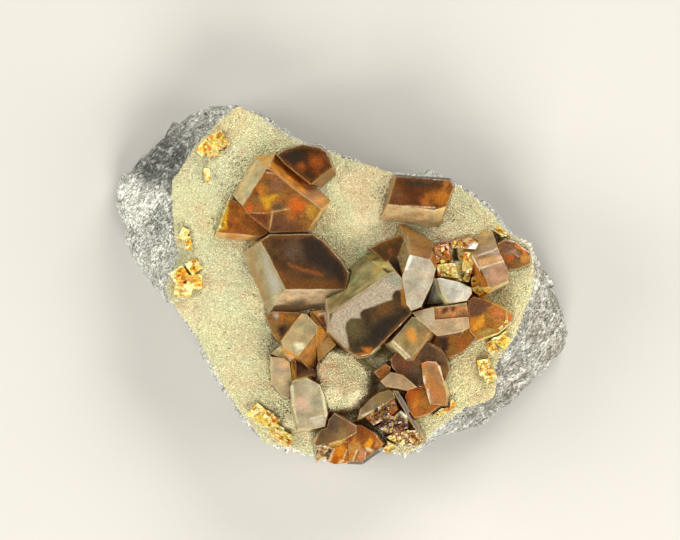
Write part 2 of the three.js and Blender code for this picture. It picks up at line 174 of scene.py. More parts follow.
def meshOf(name, points, triangles):
    mesh = bpy.data.meshes.new(name)
    mesh.vertices.add(len(points))
    mesh.loops.add(len(triangles) * 3)
    mesh.polygons.add(len(triangles))
    mesh.vertices.foreach_set("co", points.astype(np.float32).ravel())
    mesh.loops.foreach_set("vertex_index", triangles.astype(np.int32).ravel())
    mesh.polygons.foreach_set("loop_start", np.arange(0, len(triangles) * 3, 3, dtype=np.int32))
    mesh.update(calc_edges=True)
    mesh.validate()
    return mesh


def newObject(name, data):
    made = bpy.data.objects.new(name, data)
    bpy.context.scene.collection.objects.link(made)
    return made


def newPiece(name, mesh, material, replaced=()):
    piece = newObject(name, mesh)
    mesh.materials.append(material)
    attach(piece, "root")
    if replaced:
        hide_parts(*replaced)
    print(name, len(mesh.polygons), "faces")


def readyShape(shape):  # cut into triangles, normals and numbers up to date
    bmesh.ops.triangulate(shape, faces=shape.faces)
    shape.normal_update()
    for items in (shape.verts, shape.edges, shape.faces):
        items.index_update()
        items.ensure_lookup_table()
    return shape


def nodeShape(node):  # the node's solid, its corners welded
    shape = bmesh.new()
    shape.from_mesh(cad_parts[node].data)
    bmesh.ops.remove_doubles(shape, verts=shape.verts, dist=weldMm * mm)
    bmesh.ops.dissolve_degenerate(shape, edges=shape.edges, dist=sliverMm * mm)
    return readyShape(shape)


def evenMesh(node, voxelMm):  # a copy of the node's solid as a mesh of small even faces
    mesh = bpy.data.meshes.new(node + " even")
    shape = nodeShape(node)
    shape.to_mesh(mesh)
    shape.free()
    piece = newObject(mesh.name, mesh)
    remesh = piece.modifiers.new("even faces", "REMESH")
    remesh.mode = "VOXEL"
    remesh.voxel_size = voxelMm * mm
    graph = bpy.context.evaluated_depsgraph_get()
    even = bpy.data.meshes.new_from_object(piece.evaluated_get(graph))
    bpy.data.objects.remove(piece)
    bpy.data.meshes.remove(mesh)
    return even


# Camera: straight down on the crystals, from far off as a long lens sees them

cameraView = {"lens": 400.0, "widthMm": 136.0, "planeMm": 20.0, "centreMm": (-0.2, 3.0)}


def makeCamera():
    data = bpy.data.cameras.new("camera")
    camera = newObject("camera", data)
    data.lens = cameraView["lens"]
    height = cameraView["widthMm"] / data.sensor_width * data.lens + cameraView["planeMm"]
    camera.location = Vector((*cameraView["centreMm"], height)) * mm
    data.clip_start, data.clip_end = 0.05, 10
    bpy.context.scene.camera = camera


# Lights: a broad soft lamp in front, weaker ones at the left, behind and at the right, a dim room

lights = {
    "key": {"fromMm": (90, -500, 460), "sizeMm": 360, "watts": 5.4},
    "left": {"fromMm": (-500, 20, 380), "sizeMm": 340, "watts": 3.1},
    "back": {"fromMm": (260, 450, 420), "sizeMm": 340, "watts": 3.8},
    "right": {"fromMm": (510, -80, 360), "sizeMm": 300, "watts": 1.7},
}
room = {"lampColour": "#fffdf8", "colour": "#f4f0e8", "strength": 0.17}


def makeLights():
    for name, light in lights.items():
        data = bpy.data.lights.new(name, "AREA")
        lamp = newObject(name, data)
        data.shape = "SQUARE"
        data.size = light["sizeMm"] * mm
        data.energy = light["watts"]
        data.color = linear(room["lampColour"])
        lamp.location = Vector(light["fromMm"]) * mm
        lamp.rotation_euler = lamp.location.to_track_quat("Z", "Y").to_euler()
    world = bpy.data.worlds.new("room")
    world.use_nodes = True
    background = world.node_tree.nodes["Background"]
    background.inputs["Color"].default_value = rgba(room["colour"])
    background.inputs["Strength"].default_value = room["strength"]
    bpy.context.scene.world = world
    bpy.context.scene.view_settings.view_transform = "Standard"


# Floor: matt card, so plain and pale

floorCard = {"sizeMm": 4000, "colour": "#b3b0ab", "fibreMm": 0.6, "belowMm": 0.02}


def makeFloor():
    half = floorCard["sizeMm"] * mm / 2
    corners = [(-half, -half), (half, -half), (half, half), (-half, half)]
    mesh = bpy.data.meshes.new("floor")
    low = -floorCard["belowMm"] * mm
    mesh.from_pydata([(x, y, low) for x, y in corners], [], [(0, 1, 2, 3)])
    floor = newObject("floor", mesh)
    material, tree = newMaterial("matt card")  # pressed paper: no gloss, faint fibres
    where = addNode(tree, "TexCoord", {}, "Object")
    fibres = {"Vector": where, "Scale": 1 / (floorCard["fibreMm"] * mm)}
    fibre = addNode(tree, "TexNoise", fibres, "Fac")
    bump = addNode(tree, "Bump", {"Height": fibre, "Strength": 0.1, "Distance": 0.1 * mm})
    card = {"Base Color": rgba(floorCard["colour"]), "Roughness": 0.9, "Normal": bump}
    addNode(tree, "OutputMaterial", {"Surface": addNode(tree, "BsdfPrincipled", card)})
    mesh.materials.append(material)


makeCamera()
makeLights()
makeFloor()
print("stage ready")


# Rock: a broken piece of grey dolostone, sugary with salt-and-pepper grains

rock = {
    "voxelMm": 0.4,
    "blockMm": 4.6,  # broken facets
    "blockDepthMm": 0.35,
    "blockLean": 0.26,
    "seam": 0.12,  # how wide the seams between facets are
    "roughMm": 1.0,
    "roughDepthMm": 0.13,
    "grainMm": 0.55,  # as fine as the mesh can carry; the material adds the finer grain
    "grainDepthMm": 0.1,
    "speckMm": 0.22,
    "sugarMm": 0.25,  # glassy grains, each as bright as its own face happens to catch the light
    "bedding": math.radians(40),  # faint beds run this way in plan
    "bedStretch": 1.8,
    "bedDraw": 0.6,  # how far the mottles are drawn out along the beds
    "mottleMm": 1.6,
    "mottleShare": 0.4,
    "grainShare": 0.8,
    "bumpMm": 0.15,
    "roughness": 0.75,
    "ior": 1.52,  # much as dolomite and calcite, dulled by the grain
    "base": "#97978f",
    "pale": "#dcdbd0",
    "dark": "#464640",
    "rimMm": 13,  # height of the rim from which the zones fade downwards, stains and painted light and shade alike
    "zones": [  # x, y, radius, colour; partly iron stains, partly painted light and shade on the flank's facets
        (-37, 27, 9, "#4a4c47"), (-30, 33, 6, "#70716b"), (-41, 13, 7, "#b8b9ae"),
        (-44, 19, 4, "#c8c8bd"), (-36, 11, 4, "#7c7d76"), (-36, 5, 5, "#aaab9f"),
        (42, -8, 9, "#716c60"), (38, 3, 6, "#847e70"), (30, -25, 8, "#6e6b61"),
        (34, -18, 5, "#686256"), (-25, -18, 8, "#a9a89b"), (-5, -35, 9, "#b4b09f"),
        (36, 8, 3, "#c4bbaa"),
    ],
}


def rockMaterial():
    material, tree = newMaterial("broken dolostone")  # dull sugary grains, light and dark
    where = addNode(tree, "TexCoord", {}, "Object")
    tint = addNode(tree, "Attribute", {}, "Color", attribute_name="tint")
    bedding = (0, 0, rock["bedding"])
    beds = {"Vector": where, "Rotation": bedding, "Scale": (rock["bedStretch"], 1, 1)}
    along = addNode(tree, "Mapping", beds, vector_type="TEXTURE")
    grains = {"Vector": along, "Scale": 1 / (rock["speckMm"] * mm), "Detail": 3.0, "Roughness": 0.75}
    grain = addNode(tree, "TexNoise", grains, "Fac")
    salted = {"Value": grain, "From Min": 0.34, "From Max": 0.66, "To Min": 0.72, "To Max": 1.28}
    speck = addNode(tree, "MapRange", salted)
    sugar = {"Vector": along, "Scale": 1 / (rock["sugarMm"] * mm)}
    sugarColour = addNode(tree, "TexVoronoi", sugar, "Color")
    chance = addNode(tree, "SeparateColor", {"Color": sugarColour}, "Red")
    sparkle = addNode(tree, "MapRange", {"Value": chance, "To Min": 0.3, "To Max": 1.8})
    shade = addNode(tree, "Math", {0: speck, 1: sparkle}, operation="MULTIPLY")
    colour = addNode(tree, "VectorMath", {0: tint, "Scale": shade}, operation="SCALE")
    relief = {"Height": grain, "Strength": 0.7, "Distance": rock["bumpMm"] * mm}
    bump = addNode(tree, "Bump", relief)
    stone = {"Roughness": rock["roughness"], "IOR": rock["ior"]}
    shader = addNode(tree, "BsdfPrincipled", {"Base Color": colour, "Normal": bump} | stone)
    addNode(tree, "OutputMaterial", {"Surface": shader})
    return material


def zoneTint(colours, points, zones, seed, rimMm=0):  # soft-edged places, their rims broken up
    plan = points[:, :2] / mm
    drop = np.maximum(rimMm - points[:, 2] / mm, 0) / 2  # a stain reaches only so far down a flank
    wobble = fractalNoise(points, 3.0, 3, seed) * 0.6
    for x, y, radius, colour in zones:
        away = np.hypot(np.hypot(plan[:, 0] - x, plan[:, 1] - y), drop) / radius
        colours = blendTo(colours, linear(colour), 1 - smoothStep(away + wobble, 0.4, 1.3))
    return colours


def makeRock():
    mesh = evenMesh("host_rock", rock["voxelMm"])
    points = getVectors(mesh.vertices, "co")
    normals = getVectors(mesh.vertex_normals, "vector")
    block, depth, away = cellNoise(points, rock["blockMm"], 3)
    lean = np.stack([(block * n) % 1 - 0.5 for n in (37, 91, 53)], 1)  # each block's own slope
    push = (block - 0.5) * 2 * rock["blockDepthMm"] * smoothStep(depth, 0, rock["seam"])
    push += np.sum(lean * away, axis=1) * 2 * rock["blockMm"] * rock["blockLean"]
    push += fractalNoise(points, rock["roughMm"], 3, 11) * rock["roughDepthMm"]
    grain = cellNoise(points, rock["grainMm"], 17)[0]
    push += (grain - 0.5) * 2 * rock["grainDepthMm"]
    flank = smoothStep(points[:, 2] / mm, 0.3, 2.0)  # the sawn-flat base stays flat
    points += normals * (push * flank * mm)[:, None]
    points[:, 2] = np.maximum(points[:, 2], 0)
    setPoints(mesh, points)
    colours = np.tile(linear(rock["base"]), (len(points), 1))
    colours = zoneTint(colours, points, rock["zones"], 31, rock["rimMm"])
    turn = np.array([math.cos(rock["bedding"]), math.sin(rock["bedding"])])
    beds = points.copy()
    beds[:, :2] -= np.outer(points[:, :2] @ turn, turn) * rock["bedDraw"]
    mottle = fractalNoise(beds, rock["mottleMm"], 3, 41)
    dark, pale, share = linear(rock["dark"]), linear(rock["pale"]), rock["mottleShare"]
    colours = blendTo(colours, dark, smoothStep(mottle, 0.1, 0.7) * share)
    colours = blendTo(colours, pale, smoothStep(-mottle, 0.1, 0.7) * share)
    colours = blendTo(colours, pale, (1 - smoothStep(depth, 0, 0.1)) * share)
    colours = blendTo(colours, pale, (grain - 0.6) * rock["grainShare"])
    colours = blendTo(colours, dark, (0.35 - grain) * rock["grainShare"])
    setAttribute(mesh, "tint", colours, "POINT")
    mesh.shade_flat()
    newPiece("rock", mesh, rockMaterial(), ["host_rock"])


makeRock()


# Crust: tiny pale crystals grown close together over the rock's front, with dark specks between

crust = {
    "voxelMm": 0.4,
    "swellMm": 3.5,  # low swells
    "swellDepthMm": 0.22,
    "nubMm": 0.9,
    "nubDepthMm": 0.2,
    "grainsPerMm2": 22.4,
    "grainMm": (0.28, 0.5),  # across; real ones are finer, and these are as coarse as show
    "grainTall": (0.8, 1.25),  # its three axes, as shares of that
    "grainWide": (0.7, 1.15),
    "grainDeep": (0.6, 1.0),
    "grainLean": 0.35,
    "grainShades": (0.72, 1.1),
    "paleShare": 0.8,
    "floorShade": 0.85,  # the floor between the grains lies in shade
    "mottleMm": 2.2,
    "mottleShare": 0.5,
    "fineMm": 0.3,
    "roughness": 0.38,
    "ior": 1.6,
    "base": "#cdc898",
    "pale": "#ece8c4",
    "dark": "#4c4a30",
    "tan": "#cba878",
    "green": "#bcc496",
    "zones": [
        (-26, 24, 9, "#c5c39c"), (-24, 2, 10, "#c4be94"), (-18, -14, 8, "#cac094"),
        (-6, 18, 6, "#cac096"), (6, 14, 8, "#e6daae"), (20, 11, 4, "#dcd0a6"),
        (-16, -3, 3, "#dcd0a0"), (4, 20, 5, "#d3bf90"), (0, -11, 4.5, "#bfa06a"),
        (-2, -17, 4, "#c7a070"), (3, -20, 3, "#bca97a"), (27, 12, 6, "#e0d6a6"),
        (32, 0, 5, "#c6ba86"), (26, -18, 7, "#d8ca94"), (-10, -30, 6, "#d2cca0"),
        (-22, 33, 5, "#d0c290"),
        # painted light: the near-white zones on the next two lines brighten the crust in the shade between
        # the crystals; the last zone is the lump's own tone
        (7, -15.4, 2.6, "#fff6cc"), (8.6, -19.6, 1.6, "#fff6cc"), (-0.8, -12.6, 2.4, "#fff6cc"),
        (3.4, -23, 2.0, "#fff6cc"), (-2, -22, 1.6, "#f8e8bc"), (-2.6, -8.6, 2, "#fff6cc"),
        (3.4, -15, 3, "#c8bc88"),
    ],
    "specked": [  # x, y, radius and share of dark grains
        (-19.5, 23.5, 2.6, 0.4), (-21.5, 18, 3.2, 0.3), (-24, 12, 2.2, 0.32), (-18.5, 4, 2.4, 0.26),
        (-16, -1, 2.4, 0.22), (-14.5, -13, 2.6, 0.26), (-11.5, -24.5, 2.4, 0.36), (8.5, 18, 1.8, 0.4),
        (3, -26, 2.2, 0.35), (6.5, -18.5, 2.0, 0.26), (33, -2.5, 2.2, 0.26), (20, 12, 3, 0.12),
    ],
    "speckedElsewhere": 0.025,
}


def druseMaterial(name):
    material, tree = newMaterial(name)  # glassy little faces: each catches the light its own way
    where = addNode(tree, "TexCoord", {}, "Object")
    tint = addNode(tree, "Attribute", {}, "Color", attribute_name="tint")
    specks = {"Vector": where, "Scale": 1 / (crust["fineMm"] * mm), "Detail": 2.0}
    fine = addNode(tree, "TexNoise", specks, "Fac")
    shades = {"Value": fine, "From Min": 0.3, "From Max": 0.7, "To Min": 0.78, "To Max": 1.2}
    shade = addNode(tree, "MapRange", shades)
    colour = addNode(tree, "VectorMath", {0: tint, "Scale": shade}, operation="SCALE")
    druse = {"Base Color": colour, "Roughness": crust["roughness"], "IOR": crust["ior"]}
    addNode(tree, "OutputMaterial", {"Surface": addNode(tree, "BsdfPrincipled", druse)})
    return material


def crustColours(points):
    colours = np.tile(linear(crust["base"]), (len(points), 1))
    colours = zoneTint(colours, points, crust["zones"], 51)
    mottle = fractalNoise(points, crust["mottleMm"], 4, 61)
    share = crust["mottleShare"]
    colours = blendTo(colours, linear(crust["tan"]), smoothStep(mottle, 0.05, 0.6) * share)
    return blendTo(colours, linear(crust["green"]), smoothStep(-mottle, 0.05, 0.6) * share)


def makeCrust(hidden):
    mesh = evenMesh("drusy_crust", crust["voxelMm"])
    points = getVectors(mesh.vertices, "co")
    normals = getVectors(mesh.vertex_normals, "vector")
    push = fractalNoise(points, crust["swellMm"], 2, 71) * crust["swellDepthMm"]
    push += (cellNoise(points, crust["nubMm"], 73)[0] - 0.6) * crust["nubDepthMm"]
    points += normals * (push * mm)[:, None]
    setPoints(mesh, points)
    setAttribute(mesh, "tint", crustColours(points) * crust["floorShade"], "POINT")
    mesh.shade_flat()
    material = druseMaterial("calcite druse")
    newPiece("crust", mesh, material, ["drusy_crust"])
    makeGrains(mesh, material, hidden)


def makeGrains(mesh, material, hidden):
    # seats for the grains: points spread evenly over the upper faces, outside the big crystals
    centres = getVectors(mesh.polygons, "center")
    normals = getVectors(mesh.polygons, "normal")
    areas = np.empty(len(centres), np.float32)
    mesh.polygons.foreach_get("area", areas)
    upper = normals[:, 2] > 0.05
    centres, normals, areas = centres[upper], normals[upper], areas[upper].astype(float)
    many = int(areas.sum() / mm**2 * crust["grainsPerMm2"])
    pick = np.searchsorted(np.cumsum(areas), (np.arange(many) + 0.5) / many * areas.sum())
    pick = np.minimum(pick, len(areas) - 1)
    spread = random.uniform(-0.5, 0.5, (many, 3)) * crust["voxelMm"] * mm
    seats = centres[pick] + spread
    up = normals[pick]
    seats -= up * np.sum(spread * up, axis=1)[:, None]
    covered = np.array([hidden(Vector(p)) for p in seats])
    seats, up = seats[~covered], up[~covered]
    many = len(seats)

    # each grain: six tips along three skewed axes
    low, high = crust["grainMm"]
    size = (low + (high - low) * random.random(many) ** 1.8) * mm / 2
    lean = up + random.normal(0, crust["grainLean"], (many, 3))
    lean /= np.linalg.norm(lean, axis=1)[:, None]
    side = np.cross(lean, random.normal(0, 1, (many, 3)))
    side /= np.linalg.norm(side, axis=1)[:, None]
    third = np.cross(lean, side)
    tall = (size * random.uniform(*crust["grainTall"], many))[:, None]
    wide = (size * random.uniform(*crust["grainWide"], many))[:, None]
    deep = (size * random.uniform(*crust["grainDeep"], many))[:, None]
    seats = seats + up * (size * 0.25)[:, None]
    tips = [lean * tall, -lean * tall, side * wide, -side * wide, third * deep, -third * deep]
    corners = np.stack([seats + tip for tip in tips], 1)
    octahedron = np.array(
        [[0, 2, 4], [0, 4, 3], [0, 3, 5], [0, 5, 2], [1, 4, 2], [1, 3, 4], [1, 5, 3], [1, 2, 5]]
    )

    colours = crustColours(seats)
    light = random.random(many)
    colours = blendTo(colours, linear(crust["pale"]), light**2 * crust["paleShare"])
    colours *= random.uniform(*crust["grainShades"], (many, 1))
    share = np.full(many, crust["speckedElsewhere"])
    for x, y, radius, dark in crust["specked"]:
        away = np.hypot(seats[:, 0] / mm - x, seats[:, 1] / mm - y) / radius
        share = np.maximum(share, dark * (1 - smoothStep(away, 0.4, 1.4)))
    specks = random.random(many) < share
    shade = random.uniform(0.35, 0.95, specks.sum())
    colours[specks] = blendTo(colours[specks], linear(crust["dark"]), shade)

    order = np.argsort(seats[:, 0])
    for n, part in enumerate(np.array_split(order, 2)):
        points = corners[part].reshape(-1, 3)
        triangles = (octahedron[None] + 6 * np.arange(len(part))[:, None, None]).reshape(-1, 3)
        grains = meshOf(f"druse_grains_{n + 1}", points, triangles)
        setAttribute(grains, "tint", np.repeat(colours[part], 6, axis=0), "POINT")
        newPiece(grains.name, grains, material)


# Crystals. Each node's flat faces are cut into small even triangles, then given their relief.

flatTurn = math.cos(math.radians(2.0))  # faces that turn less than this are one flat face
ridgeTurn = 0.2  # radians; an outward edge at least this sharp is a ridge
slabFlare = 0.06  # how far a block's sides lean out, as a share of its width


def isSliver(face):
    return face.calc_area() < sliverMm / 2 * mm * max(edge.calc_length() for edge in face.edges)


def flatFaces(shape):  # groups of triangles that lie in one plane, the largest triangle first
    owner = {}
    groups = []
    for start in sorted(shape.faces, key=lambda face: -face.calc_area()):
        if start.index in owner:
            continue
        owner[start.index] = len(groups)
        group, waiting = [], [start]
        while waiting:
            face = waiting.pop()
            group.append(face)
            for edge in face.edges:
                for other in edge.link_faces:
                    if other.index in owner:
                        continue
                    if other.normal.dot(start.normal) > flatTurn or isSliver(other):
                        owner[other.index] = len(groups)
                        waiting.append(other)
        groups.append(group)
    return groups, owner


def cutFace(group, points, borders, spacing):  # even triangles over one flat face
    normal = sum((face.normal * face.calc_area() for face in group), Vector()).normalized()
    across = normal.orthogonal().normalized()
    along = normal.cross(across)
    basis = np.array([across, along])
    ids = sorted({n for border in borders for n in border})
    known = np.array([points[n] for n in ids])
    level = np.array(normal) * np.mean(known @ np.array(normal))
    flat = known @ basis.T / spacing
    seat = {n: k for k, n in enumerate(ids)}
    edges = [(seat[a], seat[b]) for border in borders for a, b in zip(border, border[1:])]

    # a staggered grid of points inside the face, none close to its border
    rowGap, borderGap = 0.87, 0.62  # both as shares of the spacing
    near = KDTree(len(flat))
    for k, (u, v) in enumerate(flat):
        near.insert((u, v, 0), k)
    near.balance()
    inner = []
    taken = set()
    for face in group:
        tri = np.array([vert.co for vert in face.verts]) @ basis.T / spacing
        (a, b, c) = tri
        area = (b[0] - a[0]) * (c[1] - a[1]) - (b[1] - a[1]) * (c[0] - a[0])
        if abs(area) < 1e-6:
            continue
        rows = np.arange(math.floor(tri[:, 1].min() / rowGap), math.ceil(tri[:, 1].max() / rowGap) + 1)
        for row in rows:
            columns = np.arange(math.floor(tri[:, 0].min()), math.ceil(tri[:, 0].max()) + 1)
            for column in columns:
                u, v = column + 0.5 * (row % 2), row * rowGap
                s = ((u - a[0]) * (c[1] - a[1]) - (v - a[1]) * (c[0] - a[0])) / area
                t = ((b[0] - a[0]) * (v - a[1]) - (b[1] - a[1]) * (u - a[0])) / area
                if s < 0 or t < 0 or s + t > 1 or (row, column) in taken:
                    continue
                taken.add((row, column))
                if near.find((u, v, 0))[2] > borderGap:
                    inner.append((u, v))
    flat = [Vector(p) for p in flat] + [Vector(p) for p in inner]
    verts, _, faces, origins, _, _ = delaunay_2d_cdt(flat, edges, [], 1, 1e-5)
    names = []
    for vert, origin in zip(verts, origins):
        first = min(origin) if origin else len(flat)
        if first < len(ids):
            names.append(ids[first])
        else:
            names.append(len(points))
            points.append((across * vert.x + along * vert.y) * spacing + Vector(level))
    whole = BVHTree.FromPolygons(
        [vert.co for face in group for vert in face.verts],
        [(3 * n, 3 * n + 1, 3 * n + 2) for n in range(len(group))],
    )
    triangles = []
    for face in faces:
        centre = sum((Vector(points[names[n]]) for n in face), Vector()) / 3
        if len(face) == 3 and whole.find_nearest(centre)[3] < sliverMm / 2 * mm:
            triangles.append([names[n] for n in face])
    return triangles, normal


def fanFaces(group, points, lines):  # for slivers: a fan from the middle of each triangle
    triangles = []
    for face in group:
        ring = []
        for loop in face.loops:
            line = lines[loop.edge.index]
            ring += line[:-1] if line[0] == loop.vert.index else line[:0:-1]
        centre = len(points)
        points.append(face.calc_center_median())
        triangles += [[a, b, centre] for a, b in zip(ring, ring[1:] + ring[:1])]
    return triangles


def slabShape(outlines, base):  # closed blocks: a top through each outline's corners, steep sides
    shape = bmesh.new()
    for outline in outlines:
        middle = np.mean(outline, axis=0)
        top = [shape.verts.new(np.array(corner) * mm) for corner in outline]
        foot = []
        for x, y, _ in outline:
            out = np.array([x, y]) + (np.array([x, y]) - middle[:2]) * slabFlare
            foot.append(shape.verts.new((out[0] * mm, out[1] * mm, base * mm)))
        shape.faces.new(top)
        shape.faces.new(foot[::-1])
        for n in range(len(top)):
            m = (n + 1) % len(top)
            shape.faces.new((foot[n], foot[m], top[m], top[n]))
    bmesh.ops.recalc_face_normals(shape, faces=shape.faces)
    return readyShape(shape)


def cutShape(shape, spacingMm):
    groups, owner = flatFaces(shape)
    points = [vert.co.copy() for vert in shape.verts]
    borders = [[] for _ in groups]
    ridges = []  # points along the crystals' outward edges
    beside = [Counter() for _ in groups]  # how much border each face shares with each other one
    lines = {}
    for edge in shape.edges:
        first, second = [owner[face.index] for face in edge.link_faces]
        start, end = edge.verts
        lines[edge.index] = [start.index, end.index]
        if first == second:
            continue
        steps = max(1, round(edge.calc_length() / (spacingMm * mm)))
        line = [start.index]
        for n in range(1, steps):
            line.append(len(points))
            points.append(start.co.lerp(end.co, n / steps))
        line.append(end.index)
        lines[edge.index] = line
        borders[first].append(line)
        borders[second].append(line)
        beside[first][second] += edge.calc_length()
        beside[second][first] += edge.calc_length()
        if edge.is_convex and edge.calc_face_angle() > ridgeTurn:
            ridges += line
    triangles, faceOf, normals = [], [], []
    for n, group in enumerate(groups):
        cut, normal = cutFace(group, points, borders[n], spacingMm * mm)
        sides = Counter(frozenset(side) for a, b, c in cut for side in ((a, b), (b, c), (c, a)))
        rim = {frozenset(side) for line in borders[n] for side in zip(line, line[1:])}
        if {side for side, count in sides.items() if count != 2} != rim:
            cut = fanFaces(group, points, lines)
        triangles += cut
        faceOf += [n] * len(cut)
        normals.append(normal)
    areas = [sum(face.calc_area() for face in group) for group in groups]
    tree = BVHTree.FromBMesh(shape)
    shape.free()
    used, triangles = np.unique(np.array(triangles), return_inverse=True)
    renamed = {old: new for new, old in enumerate(used)}
    return {
        "points": np.array([points[n] for n in used]),
        "triangles": triangles.reshape(-1, 3),
        "faceOf": np.array(faceOf),
        "normals": np.array(normals),
        "ridges": sorted({renamed[n] for n in ridges if n in renamed}),
        "borders": sorted({renamed[n] for n in sum(sum(borders, []), []) if n in renamed}),
        "beside": beside,
        "areas": areas,
        "tree": tree,
        "owner": owner,
    }


def distanceTo(points, chosen):  # from each point to the nearest chosen one, in millimetres
    tree = KDTree(len(chosen))
    for k in chosen:
        tree.insert(points[k], k)
    tree.balance()
    return np.array([tree.find(p)[2] for p in points]) / mm


# How the faces are finished. Roughness: a clean face of barite is 0.1 to 0.2, an etched one more.
# Rim is how strong the painted highlight along an edge is, etch how rough the pits are,
# glow how much light leaks in from an edge; grain is the salt-and-pepper of fine pits; mottle is the size
# in mm of the second colour's places; cloud and warm are how far the stone's depth and hue wander.
finishes = {
    "clear": dict(roughness=0.16, mottle=2.2, rim=0.3, etch=0.3, grain=1.8, glow=0.35, cloud=0.5, warm=0.5),
    "satin": dict(roughness=0.3, mottle=1.8, rim=0.36, etch=0.4, grain=1.4, glow=0.1, cloud=0.6, warm=0.3),
    "frosted": dict(roughness=0.5, mottle=1.4, rim=0.42, etch=0.7, grain=1.1, glow=0, cloud=0.5, warm=0.2),
    "broken": dict(roughness=0.26, mottle=0.8, rim=0, etch=0.2, grain=1.2, glow=0, cloud=0.2, warm=0.2),
}
crystal = {
    "spacingMm": 0.22,
    "rimMm": 0.24,  # width of the painted highlight, a pale line along an edge
    "edgeHighlightColour": "#ead69c",
    "patchyMm": 1.6,  # that line comes and goes
    "glowMm": 1.1,  # how far light leaks in from an edge
    "glowColour": "#8e5218",
    "wearMm": 0.04,  # how far an edge is worn back
    "wearPatchMm": 0.9,
    "calmMm": 0.6,  # no relief this close to a border
    "bowMm": 4.0,  # edges wander a little from straight
    "bowDepthMm": 0.12,
    "waveMm": 2.2,  # faint growth waves on every face
    "waveDepthMm": 0.03,
    "stepMm": 0.8,  # cleavage steps of the broken faces
    "stepDepthMm": 0.6,
    "flakeMm": 0.7,  # flakes of a broken face, each its own depth of colour
    "flakeShare": 0.9,
    "secondShare": 0.85,  # how far a face's mottles go to its second colour
    "glint": "#fff0ac",
    "glintShare": 0.4,
    "depths": "#e8a45c",  # where there is more of the stone to look through
    "cloudMm": 1.3,  # lighter and darker places in every face
    "lineMm": 0.5,  # growth lines, level ones, on the sloping faces
    "lineShade": 0.12,
    "warmMm": 1.7,  # redder and yellower places
    "warmHue": (-0.2, 0.5, 1.0),  # what these take from red, green and blue
    "raggedMm": 1.2,  # how the rims of spots and lines break up
    "bendMm": 2.2,
    "spotBendMm": 0.9,  # how far spots, patches and lines wander
    "patchBendMm": 0.25,
    "lineBendMm": 0.12,
    "scrapMm2": 0.5,  # a face smaller than this looks like its neighbour
    "specksMm": 0.34,
    "pitsMm": 0.3,
    "pitDepthMm": 0.06,
    "sides": ("#7a4c22", "#9a6a30"),  # colours of the steep sides
    "darkest": 0.002,  # no colour goes below this
    "creaseDegrees": 20,
    "tilts": (0.25, 0.7, 1.0),  # upward share of a face's normal
    "tiltShading": (1.7, 1.35, 0.8),  # painted light and shade: sloping faces are painted paler than tops
}
honeyGlass = {"ior": 1.64, "transmission": 0.4, "absorbed": "#f0ce48", "perMetre": 330.0}
yellowGlass = {"ior": 1.64, "transmission": 0.25, "absorbed": "#f6e27c", "perMetre": 200.0}


def bariteMaterial(name, glass):  # see-through honey barite: glossy, or dull where it is etched
    material, tree = newMaterial(name)
    where = addNode(tree, "TexCoord", {}, "Object")
    tint = addNode(tree, "Attribute", {}, "Color", attribute_name="tint")
    dull = addNode(tree, "Attribute", {}, "Fac", attribute_name="roughness")
    etch = addNode(tree, "Attribute", {}, "Fac", attribute_name="etch")
    grain = addNode(tree, "Attribute", {}, "Fac", attribute_name="grain")
    specks = {"Vector": where, "Scale": 1 / (crystal["specksMm"] * mm), "Detail": 3.0}
    fine = addNode(tree, "TexNoise", specks, "Fac")
    swing = addNode(tree, "Math", {0: fine, 1: 0.5}, operation="SUBTRACT")
    shade = addNode(tree, "Math", {0: swing, 1: grain, 2: 1.0}, operation="MULTIPLY_ADD")
    colour = addNode(tree, "VectorMath", {0: tint, "Scale": shade}, operation="SCALE")
    pitted = {"Vector": where, "Scale": 1 / (crystal["pitsMm"] * mm), "Detail": 2.0}
    pits = addNode(tree, "TexNoise", pitted, "Fac")
    depth = addNode(tree, "Math", {0: pits, 1: etch}, operation="MULTIPLY")
    relief = {"Height": depth, "Strength": 0.8, "Distance": crystal["pitDepthMm"] * mm}
    bump = addNode(tree, "Bump", relief)
    surface = {"Base Color": colour, "Roughness": dull, "Normal": bump}
    clear = {"IOR": glass["ior"], "Transmission Weight": glass["transmission"]}
    shader = addNode(tree, "BsdfPrincipled", surface | clear)
    stone = {"Color": rgba(glass["absorbed"]), "Density": glass["perMetre"]}
    inside = addNode(tree, "VolumeAbsorption", stone)
    addNode(tree, "OutputMaterial", {"Surface": shader, "Volume": inside})
    return material


def faceAt(cut, x, y):  # the number of the flat face that shows from above at a place
    found = cut["tree"].ray_cast(Vector((x, y, skyMm)) * mm, down)[2]
    return -1 if found is None else cut["owner"][found]


def depthInside(plan, outline):  # distance in from a polygon's outline, negative outside it
    nearest = np.full(len(plan), 1e9)
    inside = np.zeros(len(plan), bool)
    for (ax, ay), (bx, by) in zip(outline, outline[1:] + outline[:1]):
        side = np.array([bx - ax, by - ay])
        away = plan - (ax, ay)
        along = np.clip(away @ side / (side @ side), 0, 1)
        nearest = np.minimum(nearest, np.linalg.norm(away - along[:, None] * side, axis=1))
        straddles = (plan[:, 1] < ay) != (plan[:, 1] < by)
        if ay != by:
            inside ^= straddles & (plan[:, 0] < ax + (plan[:, 1] - ay) * (bx - ax) / (by - ay))
    return np.where(inside, nearest, -nearest)


def lineDistance(plan, start, end):
    side = np.subtract(end, start)
    away = plan - start
    along = np.clip(away @ side / (side @ side), 0, 1)
    return np.linalg.norm(away - along[:, None] * side, axis=1)


